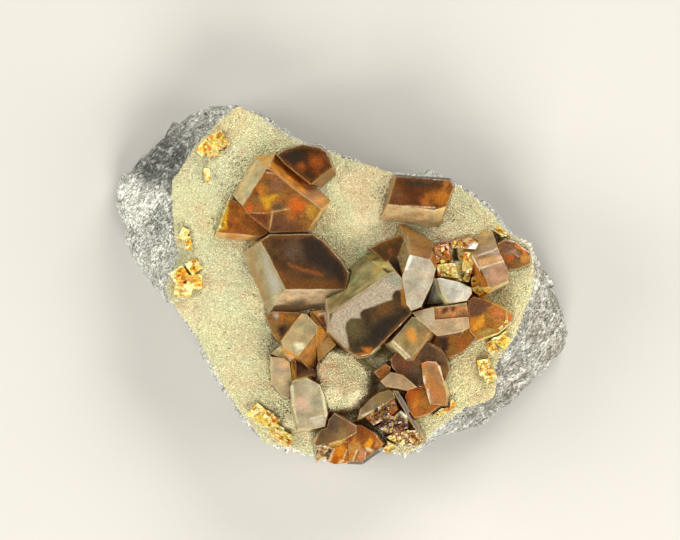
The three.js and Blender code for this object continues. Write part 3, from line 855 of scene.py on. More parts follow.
def faceColours(cut, corners, face, look, kinds, kind, colourOf, secondOf):
    # each face's own colour, its second colour in soft mottles, then the places listed for it
    colours = colourOf[face]
    for k, finish in enumerate(kinds):
        chosen = kind == k
        mottle = fractalNoise(corners[chosen], finishes[finish]["mottle"], 3, 91)
        if finish == "broken":
            flake = cellNoise(corners[chosen], crystal["flakeMm"], 117)[0] - 0.5
            mottle = mottle * 0.8 + flake * crystal["flakeShare"]
            share = smoothStep(mottle, 0.0, 0.25)
            deep = smoothStep(-mottle, 0.1, 0.5)[:, None]  # more stone to look through
            colours[chosen] *= linear(crystal["depths"]) ** deep
        else:
            share = smoothStep(mottle, -0.15, 0.6) * crystal["secondShare"]
        colours[chosen] = blendTo(colours[chosen], secondOf[face][chosen], share)
        if finish == "broken":
            glint = smoothStep(mottle, 0.45, 0.6) * crystal["glintShare"]
            colours[chosen] = blendTo(colours[chosen], linear(crystal["glint"]), glint)
        cloud = fractalNoise(corners[chosen], crystal["cloudMm"], 4, 119) * finishes[finish]["cloud"]
        level = fractalNoise(corners[chosen] * np.array([0.15, 0.15, 1.0]), crystal["lineMm"], 2, 121)
        colours[chosen] *= np.clip(1 + cloud + level * crystal["lineShade"], 0.5, 1.5)[:, None]
        warm = fractalNoise(corners[chosen], crystal["warmMm"], 3, 123) * finishes[finish]["warm"]
        colours[chosen] *= np.clip(1 - np.outer(warm, crystal["warmHue"]), 0.4, 1.6)
    ragged = fractalNoise(corners, crystal["raggedMm"], 3, 93) * 0.5
    bend = np.stack([fractalNoise(corners, crystal["bendMm"], 3, seed) for seed in (101, 103)], 1)
    flat = corners[:, :2] / mm
    for x, y, radius, colour in look.get("spots", []):
        away = np.hypot(*(flat + bend * crystal["spotBendMm"] - (x, y)).T) / radius + ragged
        share = (1 - smoothStep(away, 0.1, 1.5)) * (face == faceAt(cut, x, y))
        colours = blendTo(colours, linear(colour), share)
    for soft, colour, outline in look.get("patches", []):
        middle = np.mean(outline, axis=0)
        depth = depthInside(flat + bend * crystal["patchBendMm"], outline) / soft + ragged * 0.5
        share = smoothStep(depth, -1, 1) * (face == faceAt(cut, *middle))
        colours = blendTo(colours, linear(colour), share)
    for width, colour, start, end in look.get("lines", []):
        middle = np.add(start, end) / 2
        away = lineDistance(flat + bend * crystal["lineBendMm"], start, end) / width
        share = (1 - smoothStep(away, 0.3, 1.1)) * (face == faceAt(cut, *middle))
        colours = blendTo(colours, linear(colour), share * (0.85 + ragged))
    return colours, ragged


def dressCrystals(shape, name, material, look, replaced=()):
    cut = cutShape(shape, crystal["spacingMm"])
    points, triangles, faceOf = cut["points"], cut["triangles"], cut["faceOf"]
    toRidge = distanceTo(points, cut["ridges"])
    toBorder = distanceTo(points, cut["borders"])
    many = len(cut["normals"])
    kinds = list(finishes)
    finishOf = np.full(many, kinds.index(look.get("finish", "clear")))
    sides = look.get("sides", crystal["sides"])
    colourOf = np.tile(linear(sides[0]), (many, 1))
    secondOf = np.tile(linear(sides[1]), (many, 1))
    named = set()
    for finish, places in look["faces"].items():
        for x, y, colour, second in places:
            face = faceAt(cut, x, y)
            if face < 0:
                print("no face at", name, x, y)
                continue
            named.add(face)
            finishOf[face] = kinds.index(finish)
            # painted light and shade: the face's two colours are scaled by its slope
            tiltShading = np.interp(cut["normals"][face][2], crystal["tilts"], crystal["tiltShading"])
            colourOf[face] = linear(colour) * tiltShading
            secondOf[face] = linear(second) * tiltShading
    for face, area in enumerate(cut["areas"]):
        near = [n for n, _ in cut["beside"][face].most_common() if n in named]
        if face not in named and near and area < crystal["scrapMm2"] * mm**2:
            finishOf[face] = finishOf[near[0]]
            colourOf[face], secondOf[face] = colourOf[near[0]], secondOf[near[0]]

    # colour, at each corner of each triangle, so that faces meet in a crisp line
    corners = points[triangles].reshape(-1, 3)
    face = np.repeat(faceOf, 3)
    ridge = toRidge[triangles].ravel()
    kind = finishOf[face]
    value = {key: np.array([finishes[k][key] for k in kinds])[kind] for key in finishes["clear"]}
    colours, ragged = faceColours(cut, corners, face, look, kinds, kind, colourOf, secondOf)
    leak = (1 - smoothStep(ridge + ragged, 0, crystal["glowMm"])) * value["glow"]
    colours = blendTo(colours, linear(crystal["glowColour"]), leak)
    patchy = smoothStep(fractalNoise(corners, crystal["patchyMm"], 2, 105), -0.4, 0.5)
    # painted highlight: a pale line along each ridge, coming and going
    rim = (1 - smoothStep(ridge, 0, crystal["rimMm"])) * value["rim"]
    colours = blendTo(colours, linear(crystal["edgeHighlightColour"]), rim * (0.35 + patchy))

    # relief: worn edges, faint waves, and steps where a crystal is broken
    vertexFace = np.zeros(len(points), int)
    vertexFace[triangles.ravel()] = face
    normals = cut["normals"][vertexFace]
    broken = finishOf[vertexFace] == kinds.index("broken")
    calm = smoothStep(toBorder, 0, crystal["calmMm"])
    push = fractalNoise(points, crystal["waveMm"], 2, 95) * crystal["waveDepthMm"] * calm
    steps = cellNoise(points * np.array([1.0, 1.6, 0.6]), crystal["stepMm"], 97)[0] - 0.8
    push += np.where(broken, steps * crystal["stepDepthMm"] * calm, 0)
    bow = np.stack([fractalNoise(points, crystal["bowMm"], 3, seed) for seed in (107, 109, 111)], 1)
    onRidge = toRidge < 0.001
    mesh = meshOf(name, points, triangles)
    average = getVectors(mesh.vertex_normals, "vector")
    wear = crystal["wearMm"] * (1 + fractalNoise(points, crystal["wearPatchMm"], 2, 99))
    moved = points + normals * (push * mm)[:, None]
    moved = np.where(onRidge[:, None], points - average * (wear * mm)[:, None], moved)
    setPoints(mesh, moved + bow * crystal["bowDepthMm"] * mm)
    mesh.shade_smooth()
    mesh.set_sharp_from_angle(angle=math.radians(crystal["creaseDegrees"]))
    setAttribute(mesh, "tint", np.clip(colours, crystal["darkest"], 1), "CORNER")
    for key in ("roughness", "etch", "grain"):
        setAttribute(mesh, key, value[key], "CORNER")
    newPiece(name, mesh, material, replaced)


# What each face shows, under its finish: a place on it and its two colours. Then, on the face beneath:
# spots (x, y, radius, colour), patches (soft edge, colour, outline), lines (half width, colour, ends).
# Near-white spots, patches and lines are painted glints and highlights; the pale colours of the frosted
# faces are partly their etched surface and partly painted sheen.
upperLeft = {
    "faces": {
        "clear": [
            (-12, 16, "#a0682a", "#7e4e24"), (-7.2, 24.6, "#422606", "#5e3006"),
            (-17.2, 12.5, "#9e5a1c", "#bc7424"),
        ],
        "satin": [
            (-15, 25, "#b08a48", "#a47e40"), (-8.4, 20.2, "#b87c34", "#a0662a"),
            (-4.6, 13.4, "#c49e50", "#a87e42"), (-3.0, 21.4, "#7a5222", "#66421e"),
            # painted light: the face at (-10.1, 10.4), in a narrow gap, is near-white against the shade
            # there
            (-10.1, 10.4, "#fff0c0", "#ffe0a0"), (-8.7, 22.0, "#a8682c", "#8c5424"),
        ],
        "frosted": [
            (-18.8, 19.6, "#b8a270", "#949272"), (-18, 9.6, "#b89054", "#a88c64"),
            (-17.2, 23.4, "#b8a270", "#949272"),
        ],
        "broken": [(-23.8, 13.4, "#ffe05c", "#fff4b8")],
    },
    "spots": [
        (-8.9, 15.4, 2.0, "#c86018"), (-18.6, 15.4, 1.0, "#c85c1a"), (-6.0, 14.4, 1.4, "#b8842c"),
        (-12.4, 20.6, 1.8, "#86583a"), (-15.6, 18.8, 1.0, "#c87820"), (-4.8, 24.3, 1.8, "#92460e"),
        (-8.0, 23.4, 1.0, "#8a4410"), (-5.6, 18.2, 1.6, "#b8845a"), (-21.6, 9.6, 1.6, "#cf8a38"),
    ],
    "patches": [
        (0.9, "#6a4226", [(-14, 14), (-12, 14.6), (-10.5, 13), (-7.5, 11.6), (-8, 10.6),
            (-13.8, 10.6)]),
        (0.5, "#c8921c", [(-16, 17.5), (-14.9, 15.2), (-14.2, 15.4), (-14, 16.6), (-12.2, 18),
            (-13.6, 18)]),
        (0.5, "#5e4630", [(-13.6, 15.6), (-12.6, 16.4), (-11.4, 16), (-12, 15), (-13.2, 14.8)]),
        (0.3, "#5a2410", [(-15.0, 23.6), (-13.3, 22.4), (-14.4, 22.3), (-15.6, 22.6)]),
        (1.0, "#2c2012", [(-12.5, 26), (-8, 27.5), (-7.4, 25), (-9.6, 23.8), (-11.8, 25)]),
        (0.4, "#20160c", [(-22, 16.6), (-20.4, 15.6), (-19, 14.4), (-15.4, 13.8), (-17, 12.8),
            (-21.4, 13.6)]),
        (0.3, "#d8a41e", [(-25, 10.6), (-22.8, 17), (-22.4, 15), (-22.9, 12.6), (-22.8, 11.4)]),
        (0.5, "#683418", [(-19.2, 14.6), (-14.6, 14.2), (-14.6, 11.2), (-17, 12.8)]),
    ],
    "lines": [
        (0.2, "#c8a078", (-14.8, 22.4), (-13.2, 22.2)), (0.2, "#c8a078", (-13.2, 22.2), (-4.6, 15.8)),
        (0.22, "#c89a60", (-14.0, 14.6), (-10.4, 15.2)),
        (0.18, "#c89a60", (-19.2, 14.5), (-14.8, 14.3)),
        (0.22, "#c89a60", (-13.6, 14.4), (-14.2, 11)),
    ],
}
largeDark = {
    "faces": {
        "clear": [(-7, 5, "#583c1c", "#46301c")],
        "satin": [(1.3, -0.2, "#b4a474", "#9c8a62"), (-1.8, 7.1, "#7a5a38", "#b09468")],
        "frosted": [
            (-14.2, 2.6, "#8e8258", "#9c9070"), (-13.7, -3.3, "#a89466", "#9c987a"),
            (-6.4, -3.0, "#b49a74", "#a88c68"), (-16.5, 8.6, "#ac844a", "#b8a070"),
        ],
    },
    "spots": [(-11.6, 1.4, 1.6, "#70441c"), (-9.0, 6.8, 2.2, "#5c4838")],
    "patches": [
        (1.0, "#2e2218", [(-8, 9.4), (-4, 9.4), (0, 5.5), (1.3, 3), (0.8, 0.4), (-3, 2.6),
            (-7, 4.8)]),
        (0.7, "#6a4018", [(-11, -0.6), (0, -0.6), (-0.6, 0.8), (-5, 1.0), (-10.6, 1.8)]),
        (0.35, "#824820", [(-10.8, 4.5), (-7, 3.3), (-3.4, 2.1), (-3.8, 1.6), (-7, 2.6),
            (-10.2, 3.8)]),
        (0.7, "#ae8a54", [(-18.8, 8.6), (-17.8, 8.4), (-17, 4), (-15.6, 0), (-13.9, -4), (-14.6, -5),
            (-18, 2)]),
        # painted highlight: the pale grey strip along the left bevel
        (0.7, "#bcb8a4", [(-15.6, 6.6), (-14.6, 4.6), (-12.4, 0), (-12.8, -3), (-14.4, 0.6)]),
    ],
    "lines": [(0.25, "#d8c8a8", (-10.6, -0.9), (0.2, -0.9))],
}
upperRight = {
    "faces": {
        "clear": [(15.8, 18.8, "#5c3108", "#6c3608")],
        "satin": [(9.5, 18.2, "#8e6832", "#74542c"), (21.7, 16.8, "#966420", "#7c5820")],
        "frosted": [
            (13.6, 14.4, "#bca272", "#b09062"), (19.5, 13.8, "#c4a86c", "#ac9464"),
            # painted shade: the face at (16.5, 21.6) is near-black, though the lamp behind lights it
            (16.5, 21.6, "#281608", "#2c1a0a"),
        ],
    },
    "spots": [
        (20.2, 17.4, 2.0, "#b26a1c"), (16.8, 16.4, 1.3, "#a8601e"), (11.2, 17.8, 1.4, "#6e4626"),
        (21.2, 20.6, 1.0, "#a86c28"),
    ],
    "patches": [(0.8, "#3c2c1c", [(11.8, 21.6), (13.6, 19.6), (17.6, 19.4), (20.2, 20.6), (16, 22)])],
    "lines": [(0.2, "#e0c8a0", (9.2, 15.9), (18.6, 15.4))],
}
central = {
    "faces": {
        "clear": [
            (5, -6, "#473820", "#584624"), (9, 7.6, "#6c4418", "#483412"),
            (22.1, -5, "#a06c40", "#d49c60"), (29.2, -6, "#bc7a2c", "#a46e30"),
            (22.7, -11.4, "#ac7430", "#c88430"), (18, -13.6, "#64482c", "#785436"),
            (14.4, -22.6, "#d47c28", "#a8702e"), (8.4, -17, "#a66228", "#825828"),
            (34.4, 6, "#9c6834", "#8a5e34"), (27.0, 1.8, "#9c6428", "#b07c30"),
            (12.2, 6.6, "#8c7848", "#70603c"), (30.6, -3.6, "#ffa028", "#ff8c18"),
            (28.4, -1.2, "#f8c468", "#e4a24c"), (10.6, -9.4, "#523a08", "#6a480c"),
        ],
        "satin": [
            (3.3, 1.4, "#8a8254", "#787048"), (15.7, 8.8, "#865f2c", "#745430"),
            # painted light: the faces at (19.2, -3.0) and (18.8, -0.8), deep in a pit, are near-white
            # against its shade
            (19.2, -3.0, "#fff6a8", "#fff8b8"), (18.8, -0.8, "#f0e8b0", "#c0a880"),
            (17.2, -2.2, "#241406", "#180e04"), (14, -9.6, "#96804e", "#a88448"),
            (18.4, -18.4, "#b07426", "#a0681e"), (29.5, 4, "#9c7038", "#8e6432"),
            (28.4, 9.6, "#a88844", "#8c7044"), (8.0, 4.2, "#9e965a", "#ccb054"),
            (16.4, -11.8, "#aa8044", "#94703e"), (-2.8, -6.8, "#bcae96", "#a49274"),
            # painted light: the faces at (10.6, -12.8) and (11.4, -9.2), in gaps beside the square crystal,
            # are near-white against the shade there
            (10.6, -12.8, "#fcdca4", "#e0b078"), (31.4, -0.4, "#ceb47c", "#b08a50"),
            (11.4, -9.2, "#fff0c0", "#f0dca8"), (18.4, 5.0, "#8e5622", "#a07038"),
            (-0.9, -11.3, "#725c34", "#806c40"), (10.9, -20.7, "#bc8a50", "#a87040"),
            (20.9, -20.2, "#e0b868", "#c89448"), (29.2, -10.5, "#dcc070", "#c8a04c"),
            (32.7, -8.6, "#e0c478", "#c8a45c"), (7.0, -13.2, "#b2aa6c", "#9a8e58"),
            (4.8, -14.3, "#948a54", "#a27830"), (21.7, -9.9, "#542c08", "#442004"),
            (16.2, -26.2, "#ac742e", "#966226"), (20.1, -4.0, "#a89870", "#887850"),
        ],
        "frosted": [
            (15.5, 1.4, "#c6b89c", "#b8aa8c"), (22.4, -0.8, "#dad2bc", "#cec4aa"),
            (21.4, -7.8, "#c4a474", "#b09468"), (11.4, -18.8, "#ac8a5a", "#9c7c50"),
        ],
        "broken": [
            (20.2, 6.1, "#e08408", "#b06408"), (23.9, 8.2, "#c49c3c", "#dcc078"),
            (21.4, 2.9, "#ffe45c", "#fff8b0"), (25.4, 4.6, "#f4b440", "#ffe080"),
            (23.4, 4.0, "#ffdc60", "#fff0a0"), (22.2, 9.0, "#7a4814", "#944208"),
        ],
    },
    "spots": [
        (8.6, -4.6, 2.2, "#66441f"), (2.4, -8.6, 2.0, "#5c5030"), (5.2, -13.2, 0.8, "#c8701c"),
        (9.5, 6.4, 0.9, "#8e4e20"), (11, 3.6, 1.6, "#2a1208"), (17.0, 6.0, 1.3, "#98582a"),
        (14.5, -10, 1.6, "#cc8a2c"), (27.2, -7.4, 1.0, "#cc8420"), (31.2, -5.8, 1.8, "#c4703c"),
        (24.6, -11.6, 1.6, "#a85e20"), (20.7, -4.9, 0.9, "#54260e"), (22.4, -4.5, 0.6, "#6a2e12"),
        (23.5, -5.0, 0.5, "#d8742c"), (24.7, -4.6, 0.5, "#dca060"), (22.3, -5.7, 0.5, "#e8843c"),
        (23.0, -4.1, 0.3, "#f0c890"), (25.4, -9.8, 0.9, "#bc781e"), (12.4, -15.6, 2.2, "#70442a"),
        (21.2, -17, 1.0, "#80602c"), (19.0, -21.4, 1.8, "#b46c2c"), (13.4, -21.8, 1.3, "#e06818"),
        (15.6, -25.4, 1.2, "#b0662c"), (33.2, 7.6, 1.3, "#84604a"), (33.6, 5.2, 0.8, "#d0601a"),
        (35.0, 5.4, 0.6, "#6a4430"), (36.6, 5.0, 0.9, "#cc9038"), (17.0, -6.6, 1.5, "#b4a480"),
        (30.6, 1.8, 1.8, "#b07e50"),
    ],
    "patches": [
        # painted reflection: the pale zone where the heart crystal's smooth top reflects the light
        (0.22, "#b2a28a", [(-3, -8.4), (-1.4, -5.2), (0, -4), (5.9, 0.4), (9.4, 2.8), (11.8, 2.9),
            (13.2, 1.2), (13, -0.8), (11, -1.2), (10.3, -2), (10.2, -2.9), (8, -3.7), (4.3, -4.8),
            (3.8, -5.6), (3.9, -6.7), (2.2, -6.7), (1.1, -7.4), (0.9, -8.5), (1.2, -10.4),
            (1.6, -12.8), (-0.5, -12)]),
        (0.8, "#989880", [(8.6, 2.4), (12.6, 2.8), (13.2, 0.2), (11, -0.2), (9.2, 0.6)]),
        (1.2, "#2a2218", [(6.4, -8), (9, -6.2), (12.4, -5), (13.4, -6), (9.6, -10.6), (7, -12.2),
            (5, -11)]),
        (0.3, "#ac762c", [(12, -0.9), (13, -0.5), (12.9, -4.4), (11.9, -4)]),
        (0.35, "#cca444", [(8.9, 5), (8, 4.4), (6.2, 2.6), (6.6, 1.9), (7.6, 2.6), (8.7, 4.1)]),
        (0.3, "#e4d094", [(9, 4.6), (10.8, 3.2), (10.4, 2.9), (8.8, 4)]),
        (0.3, "#3e2410", [(7.4, 2.2), (8.4, 3.4), (9.4, 2.9), (10.8, 2.8), (9.4, 2.3), (7.8, 1.6)]),
        (0.6, "#8a6a40", [(-4, -5), (-1.4, -3), (1, -1.4), (0.6, -2.6), (-2, -4.8)]),
        (0.3, "#c8b890", [(19, 1.2), (19.8, 0.2), (21.6, -3.6), (20.4, -3.8)]),
        (0.4, "#6e4830", [(25.2, -2.6), (29, -2.6), (30, -3.8), (27.6, -6.2), (25.6, -6.6)]),
        (0.25, "#e09a2c", [(26, -8.6), (28.2, -5.9), (28.4, -8), (26.6, -8.9)]),
        (0.3, "#d8701c", [(33.1, -5.4), (34.5, -6.1), (33.9, -7.8), (33.3, -7.4)]),
        (0.3, "#a89048", [(27, -9.6), (29.6, -8.6), (31, -9), (28.4, -10.2)]),
        (0.5, "#462e20", [(19.4, -10.6), (21.6, -10.2), (21.4, -12.8), (20.4, -13.4)]),
        (0.3, "#cc6a1c", [(15.4, -15), (17, -14.9), (16.6, -16.2), (15.6, -15.9)]),
        (0.25, "#d8ccb4", [(16.1, -18.2), (16.7, -18), (16.9, -19.6), (16.2, -19.8)]),
        (0.5, "#c2904e", [(27.6, 3.6), (32.2, 5), (31.9, 6), (27, 5)]),
        (0.6, "#a8866c", [(27, 6), (31, 7), (30.4, 8), (27.6, 7.4)]),
        (0.3, "#b8601c", [(34.6, 8.4), (36.2, 7.8), (37.4, 6.8), (36.6, 5.9), (36, 6.9), (35, 7.5)]),
        (0.3, "#a07a5c", [(33, 6.6), (34.6, 7.4), (35.4, 6.4), (35, 6)]),
        # painted glints: the near-white patches on this line and the next
        (0.3, "#fbf4e6", [(12.5, 2.8), (13.3, 5.6), (14.4, 6.2), (13.8, 4.6), (13.2, 3)]),
        (0.3, "#fffaf0", [(25.2, 8), (27.8, 8.2), (27.6, 7.4), (26.6, 6.6), (26.1, 5.8)]),
        (0.2, "#3a2412", [(22.2, 7.4), (23.2, 7.4), (23.6, 4.7), (22.5, 4.7)]),
    ],
    "lines": [
        (0.4, "#b0681c", (3, -13.9), (6.4, -13.6)), (0.4, "#9a6420", (6.4, -13.6), (10.2, -10.4)),
        (0.3, "#b0a478", (13.2, 10.2), (13.8, 6.6)), (0.32, "#e08018", (34.8, 7.8), (36.3, 7.2)),
        (0.32, "#ec7c14", (36.3, 7.2), (36.6, 6.1)), (0.28, "#c47c28", (36.6, 6.1), (35.8, 5.3)),
        (0.2, "#4c200c", (36.9, 7.2), (37.3, 6.2)), (0.18, "#e0bca0", (34.7, 6.2), (35.3, 5.7)),
        (0.2, "#6c3c2c", (32.2, 8.6), (33.6, 8.3)), (0.2, "#6c3c2c", (32.4, 7.8), (34, 7.3)),
        # painted glints and highlights: the near-white lines #fffaf0, #ead8b4, #fff4e0, #ecd8bc and #fff8e8
        # below
        (0.3, "#fffaf0", (19.2, 1.4), (22.4, 0.9)), (0.3, "#fffaf0", (22.4, 0.9), (25.4, 0.2)),
        (0.25, "#dccca4", (19, -4.4), (25, -3.6)), (0.25, "#e0be90", (27.9, 3.4), (32.6, 4.9)),
        (0.3, "#ead8b4", (10.4, -11.2), (13.6, -14.2)), (0.2, "#dcb888", (13.8, -14.4), (18.2, -10)),
        (0.2, "#a89070", (17.8, -11.9), (20.8, -13.6)),
        (0.3, "#fff4e0", (19.5, -16.2), (20.5, -18.6)),
        (0.25, "#ecd8bc", (17.3, -20.8), (17.6, -23.4)), (0.25, "#fff8e8", (26.1, 5.8), (27.6, 3)),
        (0.2, "#e0b078", (32.9, -5.5), (33.2, -7.6)), (0.18, "#38200e", (27.7, 3.0), (29.4, -0.2)),
    ],
}
left = {
    "faces": {
        "clear": [
            (-12.2, -7.4, "#8a6838", "#b8883c"), (-4.6, -11.1, "#ffc648", "#ffa440"),
            (-10.0, -17.1, "#ffc828", "#ffb01c"),
        ],
        "satin": [
            (-6.4, -12.9, "#9a662a", "#805428"), (-12.1, -13.3, "#ecc070", "#fff8b4"),
            (-8.8, -14.9, "#c0883c", "#b06e30"), (-9.4, -26.3, "#a89a6c", "#98885e"),
            (-4.6, -28.7, "#8a7642", "#9c8450"), (-10.0, -8.5, "#c89c60", "#b0803c"),
            (-8.2, -18.5, "#fad07c", "#d4a45c"),
        ],
        "frosted": [
            (-7.8, -9.7, "#b09a60", "#b48854"), (-12, -17.4, "#bca26e", "#ac9070"),
            (-6.8, -23.3, "#ae9e74", "#a4946c"), (-14.0, -17.0, "#c0b07a", "#aa9e6e"),
            (-7.4, -28.9, "#c0b082", "#ae9e76"),
        ],
    },
    "spots": [
        # painted glints: the near-white spots #fff0d0 and #fff4e4
        (-8.3, -12.4, 0.8, "#dcd6ac"), (-4.6, -9.0, 0.5, "#fff0d0"), (-3.6, -9.8, 1.0, "#d88a20"),
        (-7.2, -16, 1.5, "#70421e"), (-5.4, -15.0, 1.0, "#8a6038"), (-11.4, -6.6, 0.9, "#cc701c"),
        (-9.8, -7.0, 0.8, "#c4801e"), (-13.2, -6.1, 0.7, "#c0b4a4"), (-11.6, -8.6, 1.0, "#3c2418"),
        (-11.2, -15.6, 1.1, "#d0a060"), (-10.6, -14.7, 0.5, "#fff4e4"), (-7.6, -23.6, 1.6, "#c8a27e"),
    ],
    "patches": [
        (0.3, "#f09c10", [(-10, -14.3), (-9.1, -14.2), (-8.9, -17.8), (-9.9, -18)]),
        (0.6, "#bfb393", [(-6, -26.7), (-3.6, -26.1), (-3.2, -27.6), (-5, -28)]),
    ],
    "lines": [
        (0.35, "#ccc694", (-9.8, -20.2), (-8.9, -27.6)), (0.35, "#d8d2a2", (-4.1, -20), (-2.9, -26)),
        (0.14, "#dcd4bc", (-6, -26.6), (-3.6, -25.9)),
    ],
}
bottom = {
    "faces": {
        "clear": [(4.7, -29.8, "#a45a1c", "#8a4816"), (1.4, -33.3, "#d46c0c", "#d48c30")],
        "satin": [
            (-0.9, -28.0, "#704e24", "#5e4422"), (6.5, -23.3, "#866a30", "#7a5e2c"),
            (-5.3, -33.0, "#847a58", "#726642"), (-5.0, -30.2, "#a08a5c", "#806e4c"),
            (16.1, -29.2, "#a08448", "#b09460"), (12.7, -25.3, "#d8a858", "#a88048"),
        ],
        "frosted": [
            (13.2, -25.3, "#4c2c10", "#40240c"), (6.0, -34.3, "#281608", "#24120a"),
            # painted shade: the face at (2.8, -35.5), at the specimen's lower edge, is near-black
            (2.8, -35.5, "#4a300e", "#3c260c"),
        ],
        "broken": [
            (-1.8, -32.6, "#b8982e", "#947724"), (8.3, -25.2, "#bc7c34", "#745028"),
            (10, -27.4, "#603a14", "#8c5c22"), (12.6, -30.4, "#b48032", "#dab45c"),
            (-4.2, -32.9, "#604818", "#b0a074"), (-0.8, -32.3, "#b87a20", "#d0c890"),
        ],
    },
    "spots": [
        (0.2, -30.2, 1.6, "#8a6c38"), (-2.4, -27, 1.4, "#4c3420"), (2.4, -28, 1.0, "#8a5a30"),
        (-4, -32, 0.8, "#c8c8a4"), (-2.5, -33.2, 0.9, "#8a3c18"), (3.6, -33.4, 0.9, "#c88858"),
    ],
    "patches": [
        (0.25, "#e49a1c", [(4.4, -32), (5.8, -30.4), (6.5, -31.2), (5.6, -32.6)]),
        (0.3, "#b8823c", [(1.2, -31.6), (3.4, -31.2), (4.4, -32.8), (4.6, -35.4), (1.4, -35.8)]),
        (0.25, "#d88018", [(1.2, -35.2), (2.2, -33), (2.7, -33.4), (1.9, -35.2)]),
        (0.25, "#c08058", [(3.3, -35), (3.6, -32.8), (4.5, -33), (4.5, -35)]),
        (0.25, "#dccca0", [(4.7, -32.3), (5.4, -32.5), (6.4, -32.8), (5.8, -33.2), (5, -32.9)]),
        (0.3, "#ccc4a0", [(9.4, -23), (10.6, -23.4), (16.4, -28.6), (15.4, -29.4), (11, -25)]),
        (0.3, "#cc8448", [(6.3, -29), (7.2, -29.6), (8.4, -31.8), (6.6, -32.4), (6.9, -31)]),
        (0.25, "#d8c48c", [(2.4, -29.8), (3, -28.8), (3.6, -29), (3.3, -30)]),
        (0.3, "#c07c34", [(1.6, -31.6), (2.6, -30), (3.2, -30.4), (2.4, -31.8)]),
    ],
    "lines": [
        (0.25, "#cc9050", (-1.4, -25.4), (3.2, -27.8)), (0.14, "#e8d4a8", (2.3, -35.2), (3.2, -32.8)),
        (0.14, "#ecd4b0", (4.7, -35.2), (4.8, -33.2)), (0.14, "#5c3414", (2.8, -35.1), (3.4, -33.2)),
        (0.14, "#6a3418", (6.2, -29.1), (7.6, -31.8)), (0.25, "#dccca4", (4.2, -26), (8.6, -24)),
    ],
}

honey = bariteMaterial("honey barite, cleaved and etched", honeyGlass)
clusterLooks = {
    "upper_left_cluster": ("crystals_upper_left", upperLeft),
    "large_dark_crystal": ("crystal_large_dark", largeDark),
    "upper_right_crystal": ("crystal_upper_right", upperRight),
    "central_cluster": ("crystals_central", central),
    "left_cluster": ("crystals_left", left),
    "bottom_cluster": ("crystals_bottom", bottom),
}
for node, (name, look) in clusterLooks.items():
    dressCrystals(nodeShape(node), name, honey, look, [node])

# Small forms of the scene alone: the bottom crystal's ragged foot, and crystals deep between others
raggedFoot = {
    "outlines": [
        [(-4.7, -33.8, 24.6), (-4.4, -32.2, 27.3), (-2.2, -31.6, 27.4), (-1.6, -32.6, 25.4),
            (-2.7, -34.9, 21.8), (-3.7, -34.8, 22.4)],
        [(-1.7, -32.5, 25.3), (-0.9, -31.2, 25.3), (1.6, -30.9, 25.3), (1.8, -34.9, 25.3),
            (0.6, -35.6, 25.3), (-1.4, -35.7, 25.3), (-2.7, -35.1, 25.3)],
    ],
    "base": 18.8,
    "finish": "satin",
    "sides": ("#b86a24", "#d8b878"),
    "faces": {
        "clear": [(0, -33, "#d87c08", "#e4962c")],
        "broken": [(-3.6, -33.4, "#8c7c3c", "#c8b88c")],
    },
    "patches": [
        (0.2, "#6e3608", [(-3.5, -34.2), (-2.4, -32.6), (-1.9, -32.8), (-2.8, -34.4)]),
        (0.15, "#a89064", [(-2.9, -34.8), (-1.8, -32.4), (-1.4, -32.5), (-2.4, -34.9)]),
        (0.15, "#e4c898", [(-2.7, -35.1), (-1.6, -32.6), (-1.2, -32.6), (-2.2, -35.2)]),
        (0.2, "#a0500c", [(-2.1, -35.5), (-1.3, -34.2), (-0.5, -34.5), (-0.9, -35.7)]),
        (0.15, "#e0bc88", [(-0.8, -35.7), (-0.1, -34.9), (0.5, -35), (0.4, -35.7)]),
        (0.15, "#a0702c", [(0.7, -34.6), (1.5, -31.8), (1.8, -32.2), (1.3, -34.8)]),
    ],
    "lines": [
        (0.3, "#e0cc98", (-0.9, -31.4), (1.6, -31.1)), (0.12, "#ecd09c", (0.2, -35.3), (1.3, -32.8)),
    ],
}
